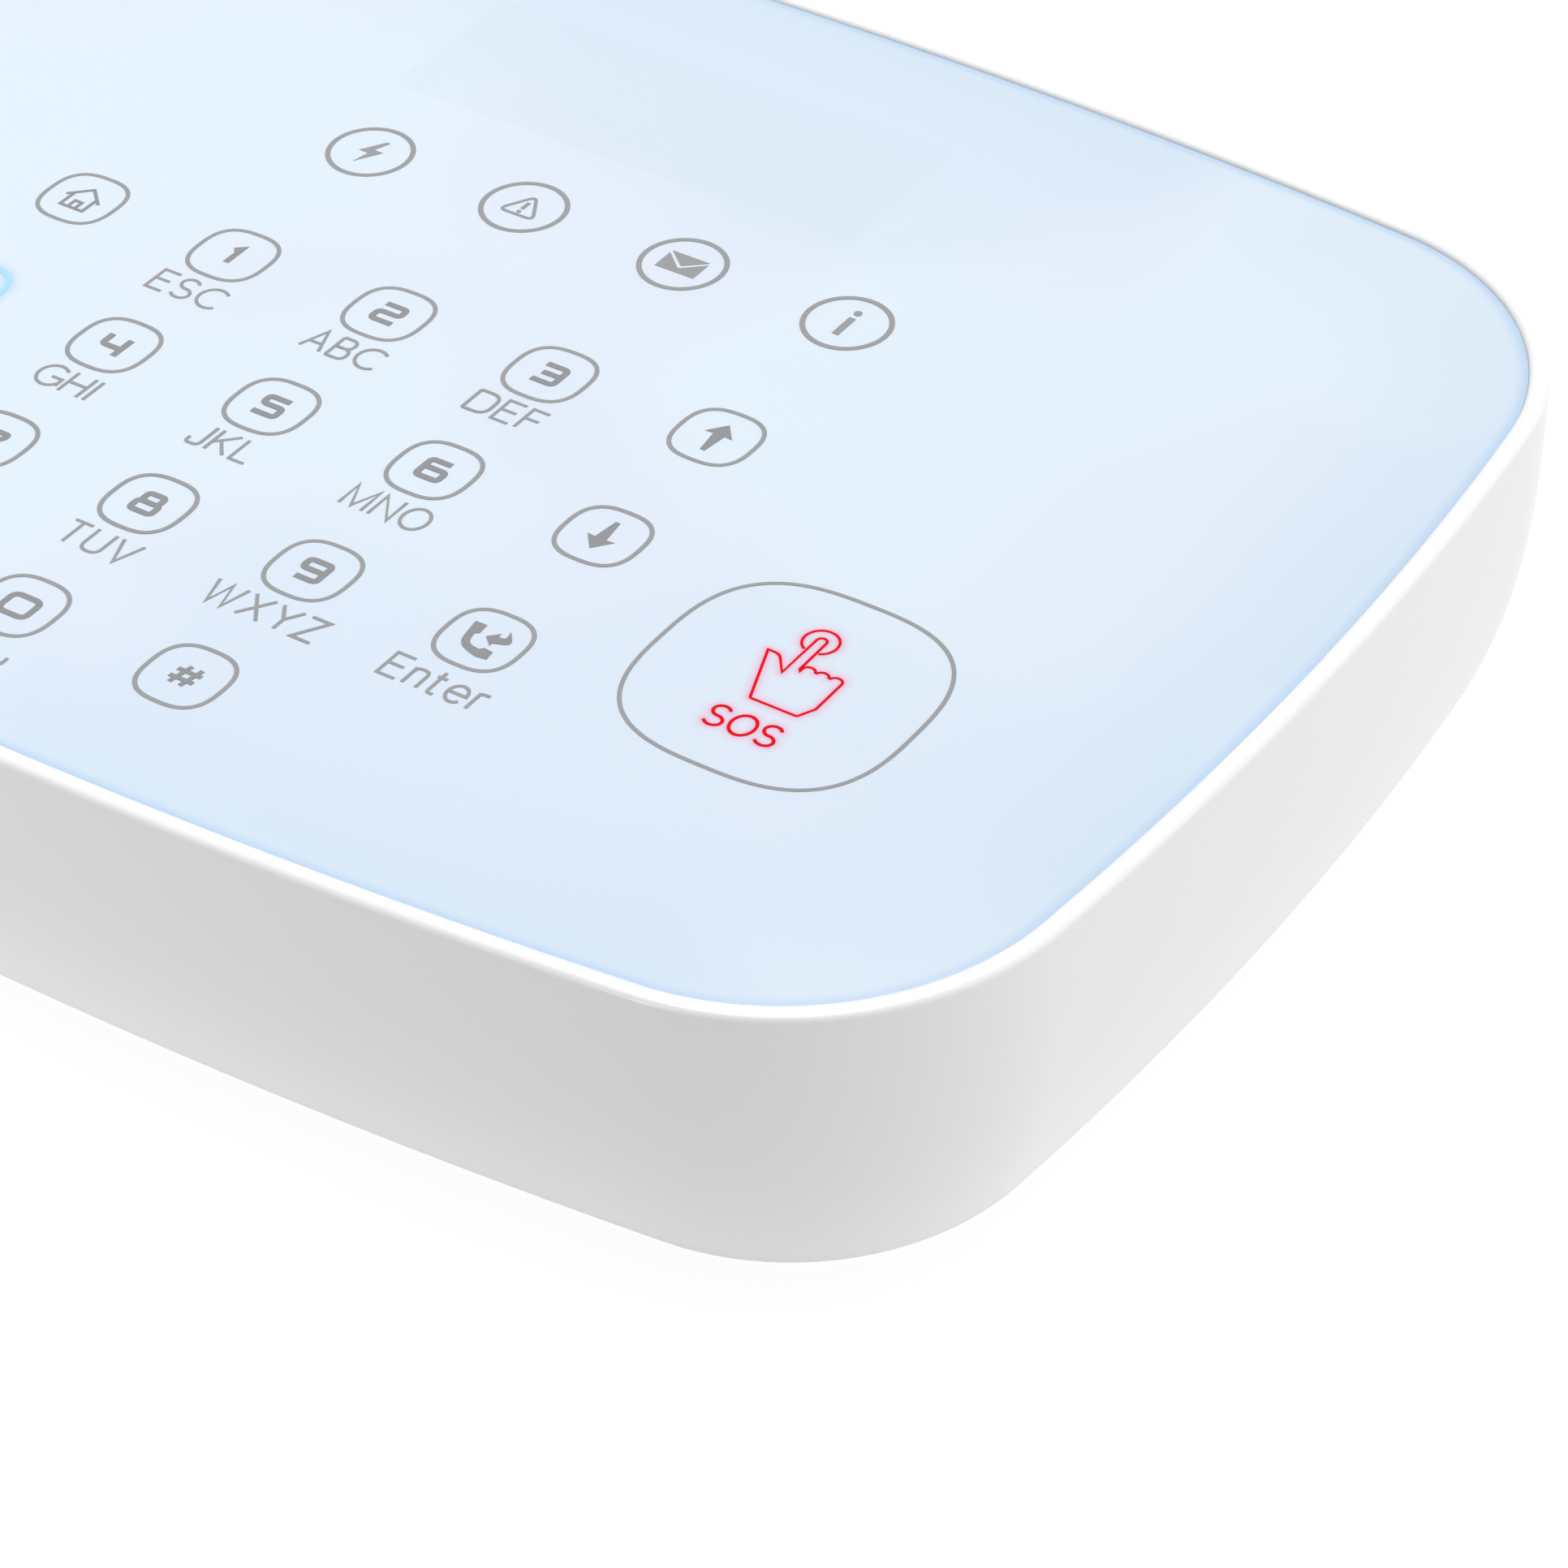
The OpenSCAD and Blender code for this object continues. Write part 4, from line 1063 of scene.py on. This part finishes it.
keyFaces = [
    ["house", "1", "2", "3", "up"],
    ["lock", "4", "5", "6", "down"],
    ["unlock", "7", "8", "9", "call"],
    ["*", "0", "#"],
]
keyNames = [
    ["", "ESC", "ABC", "DEF", ""],
    ["", "GHI", "JKL", "MNO", ""],
    ["", "PQRS", "TUV", "WXYZ", "Enter"],
    ["", "", ""],
]
litRing = Print("litKey", blueInk)
keyRing = squircle((0, 0), keyPrint["halfX"], keyPrint["halfY"], keyPrint["power"])
spaceHalf = keyPrint["spaceHalf"]
spaceSign = [(-spaceHalf, keyPrint["spaceTop"]), (-spaceHalf, keyPrint["spaceFoot"]),
             (spaceHalf, keyPrint["spaceFoot"]), (spaceHalf, keyPrint["spaceTop"])]
for places, faces, names in zip(rows[1:], keyFaces, keyNames):
    for at, face, name in zip(places, faces, names):
        lit = face == "lock"
        press = litRing if lit else outlines
        press.line(at, keyRing, keyPrint["line"], closed=True)
        press = litRing if lit else figures
        if face in figureForms:
            width = keyPrint["figureLine"] * (keyPrint["starShare"] if face in "*#" else 1)
            for stroke in figureForms[face]:
                press.line(at, stroke, width, closed=face in ("0", "8"))
        elif face == "up":
            press.plate(at, upArrow)
        elif face == "down":
            press.plate(at, flipped(upArrow)[::-1])
        elif face == "call":
            press.plate(at, handset)
            press.plate(at, callArrow)
        elif face == "house":
            houseSign(press, at, keyPrint["signLine"])
        else:
            lockSign(press, at, keyPrint["signLine"], face == "unlock")
        if face == "0":
            words.line(at, spaceSign, keyPrint["wordLine"])
        if name:
            words.word((at.x, at.y - keyPrint["wordDrop"]), name, keyPrint["word"], keyPrint["wordLine"])

bolt = [(0.35, 2.1), (-1.15, -0.25), (-0.1, -0.25), (-0.45, -2.1), (1.15, 0.45), (0.1, 0.45), (0.75, 2.1)]
flap = [(-2.05, 1.35), (2.05, 1.35), (0, -0.35)]
envelope = [(-2.1, 1.0), (-0.1, -0.75), (0.1, -0.75), (2.1, 1.0), (2.1, -1.45), (-2.1, -1.45)]
for k, at in enumerate(rows[0]):
    signs.line(at, oval(0, 0, keyPrint["ringRadius"], keyPrint["ringRadius"], 0, 354, 60),
               keyPrint["ringLine"], closed=True)
    if k == 0:
        signs.plate(at, bolt)
    elif k == 1:
        warning = fillet([(0, 2.0), (1.95, -1.35), (-1.95, -1.35)], 0.5, True)
        signs.line(at, warning, keyPrint["signLine"], closed=True)
        signs.line(at, [(0, 0.8), (0, -0.35)], 0.4)
        signs.plate(at, oval(0, -0.85, 0.24, 0.24, 0, 330, 11))
    elif k == 2:
        signs.plate(at, flap)
        signs.plate(at, envelope)
    else:
        signs.plate(at, oval(0, 1.75, 0.4, 0.4, 0, 345, 23))
        signs.line(at, [(0, 0.9), (0, -2.0)], 0.68)
alarmHalf = keyPrint["alarmHalf"]
alarmRing = squircle((0, 0), alarmHalf, alarmHalf, keyPrint["alarmPower"], keyPrint["alarmSteps"])
outlines.line(alarmPlace, alarmRing, keyPrint["alarmLine"], closed=True)

alarmSign = {
    "line": 0.25,
    "fingertip": (-0.72, 6.1),
    "ring": 1.58,
    "word": 2.62,
    "wordFoot": -7.65,
    "wordLine": 0.3,
    "wordGap": 0.22,
    "haze": 0.55,
}
knuckles = []
for k in range(3):
    knuckles += oval(1.26 + 1.32 * k, -3.75, 0.6, 0.5, 165, 15, 8)
hand = (
    [(-0.5, -5.0), (-0.47, 0.1)] + oval(0, 0.06, 0.47, 0.47, 172, 8, 10) + [(0.47, 0.1), (0.5, -3.9)]
    + [(0.66, -4.1)] + knuckles
    + fillet([(4.5, -3.75), (4.5, -7.6), (3.7, -9.15), (-0.85, -9.15), (-3.15, -3.1)], 0.25)
    + fillet([(-3.15, -3.1), (-2.0, -3.1), (-0.5, -5.0)], 1.0)[1:-1]
)
alarmPrint = Print("alarmSign", redInk)
tip = Vector(alarmPlace) + Vector(alarmSign["fingertip"])
alarmPrint.line(tip, hand, alarmSign["line"], closed=True)
alarmPrint.line(tip, oval(0, -0.03, alarmSign["ring"], alarmSign["ring"], -64, 244, 40), alarmSign["line"])
alarmPrint.word((alarmPlace.x, alarmPlace.y + alarmSign["wordFoot"]), "SOS", alarmSign["word"],
                alarmSign["wordLine"], alarmSign["wordGap"])
outlines.build()
figures.build()
words.build()
signs.build()
litRing.build()
alarmPrint.build()
halo("alarmHaze", alarmPrint.trail, alarmSign["haze"], redHaze)
halo("litKeyHaze", litRing.trail, keyPrint["haze"], blueHaze)
print("legends made")


def softened(node, width):
    # a copy of a CAD node with its edges rounded, which stands for it
    angle = 30
    mesh = nodes[node].data.copy()
    work = bmesh.new()
    work.from_mesh(mesh)
    bmesh.ops.remove_doubles(work, verts=work.verts, dist=2e-6)
    bmesh.ops.dissolve_limit(work, angle_limit=math.radians(1), verts=work.verts, edges=work.edges)
    work.to_mesh(mesh)
    work.free()
    name = "".join(word.capitalize() for word in node.split("_"))
    piece = bpy.data.objects.new(name[0].lower() + name[1:], mesh)
    scene.collection.objects.link(piece)
    mesh.materials.clear()
    mesh.materials.append(finishOf[node])
    smooth(piece, angle)
    edge = piece.modifiers.new("edge", "BEVEL")
    edge.width = width * mm
    edge.segments = 2
    edge.limit_method = "ANGLE"
    edge.angle_limit = math.radians(angle)
    flat = piece.modifiers.new("flat", "WEIGHTED_NORMAL")
    flat.weight = 100
    flat.keep_sharp = True
    settle(piece)
    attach(piece, nodes[node]["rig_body"])
    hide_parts(node)


finishOf = {
    "lens_tape": blackTape,
    "legend_film": whiteFilm,
    "light_guide": clearGuide,
    "edge_leds": ledBody,
    "alarm_led": redLamp,
    "touch_pads": copperSheet,
    "tag_coil": copperSheet,
    "display_module": displayGlass,
    "display_frame": innerWhite,
    "display_flex": amberFlex,
    "touch_board": boardGreen,
    "touch_chips": chipBlack,
    "board_spacers": brassPost,
    "board_link": blackPlastic,
    "main_board": boardGreen,
    "main_chips": chipBlack,
    "main_board_screws": brightSteel,
    "modem_can": tinCan,
    "radio_can": tinCan,
    "radio_antenna": copperSheet,
    "phone_antenna": amberFlex,
    "power_socket": blackPlastic,
    "siren_socket": blackPlastic,
    "microphone": tinCan,
    "switch_body": tinCan,
    "switch_knob": blackPlastic,
    "sim_holder": tinCan,
    "sim_tray": innerWhite,
    "sim_card": goldPlate,
    "rear_cover": greyCover,
    "rear_screws": brightSteel,
    "speaker_gasket": darkFoam,
    "speaker_frame": tinCan,
    "speaker_magnet": magnetSteel,
    "speaker_cone": conePaper,
    "cell_pack": cellWrap,
    "cell_contacts": goldPlate,
    "battery_door": greyCover,
    "tamper_plunger": innerWhite,
    "tamper_spring": springWire,
    "tamper_switch": blackPlastic,
    "wall_bracket": zincSheet,
}
for node, finish in finishOf.items():
    nodes[node].data.materials.clear()
    nodes[node].data.materials.append(finish)

# edge rounding in millimetres, and the slot
softPieces = {
    "power_socket": (0.25, "black_plastic"),
    "siren_socket": (0.25, "black_plastic"),
    "switch_knob": (0.2, "black_plastic"),
    "sim_tray": (0.15, "white_shell"),
    "rear_cover": (0.2, "grey_cover"),
    "battery_door": (0.2, "grey_cover"),
    "wall_bracket": (0.15, "bright_steel"),
    "cell_pack": (1.0, "cell_wrap"),
    "sim_holder": (0.12, "tin_can"),
    "switch_body": (0.12, "tin_can"),
    "modem_can": (0.3, "tin_can"),
    "radio_can": (0.3, "tin_can"),
    "display_frame": (0.2, "white_shell"),
    "tamper_plunger": (0.15, "white_shell"),
}
for node, (width, slot) in softPieces.items():
    softened(node, width)


screwCut = {
    "headTall": 1.6,
    "shank": 1.3,
    "core": 1.05,
    "pitch": 0.8,
    "slotLong": 3.0,
    "slotWide": 0.75,
    "slotDeep": 1.1,
    "slotTaper": 0.55,   # size of the recess at its bottom
    "slotFlare": 1.3,    # and of its cutter above the head
    "dome": ((0.6, 0), (0.2, 0.12), (0, 0.45)),
    "tip": 0.4,
}


def rearScrews():
    # domed heads with a cross recess, and ridges for the threads
    cut = screwCut
    shapes = []
    slots = ([], [])
    for low, high in islands("rear_screws"):
        at = middle((low, high))
        head = (high.x - low.x) / 2
        neck = low.z + cut["headTall"]
        section = [(head - inward, low.z + up) for inward, up in cut["dome"]]
        section += [(head, neck), (cut["shank"], neck), (cut["shank"], neck + cut["pitch"])]
        for k in range(int((high.z - neck - 2 * cut["pitch"]) / cut["pitch"])):
            foot = neck + (k + 1) * cut["pitch"]
            section += [(cut["core"], foot + cut["pitch"] * 0.5), (cut["shank"], foot + cut["pitch"])]
        section.append((cut["tip"], high.z))
        rings = []
        for r, z in section:
            rings.append([(at.x + p.x, at.y + p.y, z) for p in oval(0, 0, r, r, 0, 350, 35)])
        shapes.append(loft(rings))
        for slot, (long, wide) in zip(slots, ((1, 0), (0, 1))):
            rings = []
            for z, share in ((low.z - 1, cut["slotFlare"]), (low.z, 1.0),
                             (low.z + cut["slotDeep"], cut["slotTaper"])):
                x = share * (cut["slotLong"] if long else cut["slotWide"])
                y = share * (cut["slotLong"] if wide else cut["slotWide"])
                rings.append([(at.x + p.x, at.y + p.y, z) for p in roundRect(x, y, 0.12, 2)])
            slot.append(loft(rings))
    piece = addMesh("rearScrews", *merge(shapes), brightSteel)
    faceOut(piece)
    for slot in slots:
        carve(piece, slot)
    smooth(piece, 30)
    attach(piece, "panel")
    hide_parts("rear_screws")


rearScrews()


def tamperSpring():
    # a smooth-shaded copy of the spring, which stands for it
    piece = bpy.data.objects.new("tamperSpring", nodes["tamper_spring"].data.copy())
    scene.collection.objects.link(piece)
    smooth(piece, 60)
    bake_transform(piece)
    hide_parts("tamper_spring")


tamperSpring()
print("CAD pieces finished")

view = {
    "place": (244.9, -293.8, 288.3),
    "turn": (50.63, 1.24, 33.88),
    "lens": 118.5,
    "sensor": 36,
}
camera = bpy.data.objects.new("camera", bpy.data.cameras.new("camera"))
camera.location = Vector(view["place"]) * mm
camera.rotation_euler = [math.radians(a) for a in view["turn"]]
camera.data.lens = view["lens"]
camera.data.sensor_width = view["sensor"]
camera.data.clip_start = 0.01
camera.data.clip_end = 20
scene.collection.objects.link(camera)
scene.camera = camera

studio = {
    "sky": 0.95,
    "shades": (                      # dark patches on the wall of the room: way, from, to, how dark
        ((0, -1, 0.05), 0.0, 0.8, 0.6),
        ((0.3, -0.95, 0.1), 0.2, 0.85, 1.0),
        ((1, 0.1, 0.1), 0.2, 0.9, -0.4),
        ((-0.7, 0.7, 0.0), 0.0, 0.9, 0.3),
    ),
    "floor": tone(252, 252, 252),
    "floorGlow": 0.92,
    "floorShade": 0.08,
    "floorHalf": 6000,
    "floorTop": -0.3,
    "floorCloud": 300,
    "overheadBox": ((0, 0.1, 1.2), (0, 0, 0), 0.9, 8.2),                  # place, aim, width, power
    "leftSpot": ((-0.35, -1.3, 0.6), (-0.13, -0.066, 0.01), 16, 42),      # place, aim, degrees, power
}


def room():
    # an even white room that is darker on one side
    world = bpy.data.worlds.new("room")
    scene.world = world
    world.use_nodes = True
    tree = world.node_tree
    back = tree.nodes["Background"]
    where = tree.nodes.new("ShaderNodeTexCoord")
    light = None
    for way, start, end, dark in studio["shades"]:
        dot = tree.nodes.new("ShaderNodeVectorMath")
        dot.operation = "DOT_PRODUCT"
        dot.inputs[1].default_value = Vector(way).normalized()
        fade = tree.nodes.new("ShaderNodeMapRange")
        fade.interpolation_type = "SMOOTHSTEP"
        for k, value in enumerate((start, end, 1, 1 - dark), 1):
            fade.inputs[k].default_value = value
        both = tree.nodes.new("ShaderNodeMath")
        both.operation = "MULTIPLY"
        both.inputs[0].default_value = studio["sky"]
        if light:
            tree.links.new(light.outputs[0], both.inputs[0])
        tree.links.new(where.outputs[0], dot.inputs[0])
        tree.links.new(dot.outputs["Value"], fade.inputs[0])
        tree.links.new(fade.outputs[0], both.inputs[1])
        light = both
    tree.links.new(light.outputs[0], back.inputs[1])
    back.inputs[0].default_value = (1, 1, 1, 1)


def hang(light, place, aim):
    hung = bpy.data.objects.new(light.name, light)
    hung.location = place
    hung.rotation_euler = (Vector(aim) - Vector(place)).to_track_quat("-Z", "Y").to_euler()
    scene.collection.objects.link(hung)


def softbox(name, place, aim, size, power):
    light = bpy.data.lights.new(name, "AREA")
    light.shape = "DISK"
    light.size = size
    light.energy = power
    hang(light, place, aim)


def softSpot(name, place, aim, spread, power):
    light = bpy.data.lights.new(name, "SPOT")
    light.spot_size = math.radians(spread)
    light.spot_blend = 1.0
    light.shadow_soft_size = 0.2
    light.energy = power
    hang(light, place, aim)


def paleFloor():
    glow = {"Emission Strength": studio["floorGlow"], "Emission Color": studio["floor"]}
    made = Finish("paleFloor", glow)
    cloud = made.noise(made.place(), studio["floorCloud"], 2)
    dim, paler = [(shade, shade, shade, 1) for shade in (studio["floorShade"], studio["floorShade"] * 1.1)]
    made.feed("Base Color", made.mix(cloud, dim, paler))
    half = studio["floorHalf"]
    corners = [(-half, -half), (half, -half), (half, half), (-half, half)]
    points = [corner + (studio["floorTop"],) for corner in corners]
    floor = addMesh("floor", points, [(0, 1, 2, 3)], made.material)


room()
paleFloor()
softbox("overheadBox", *studio["overheadBox"])
softSpot("leftSpot", *studio["leftSpot"])
scene.view_settings.view_transform = "Standard"
print("studio made")
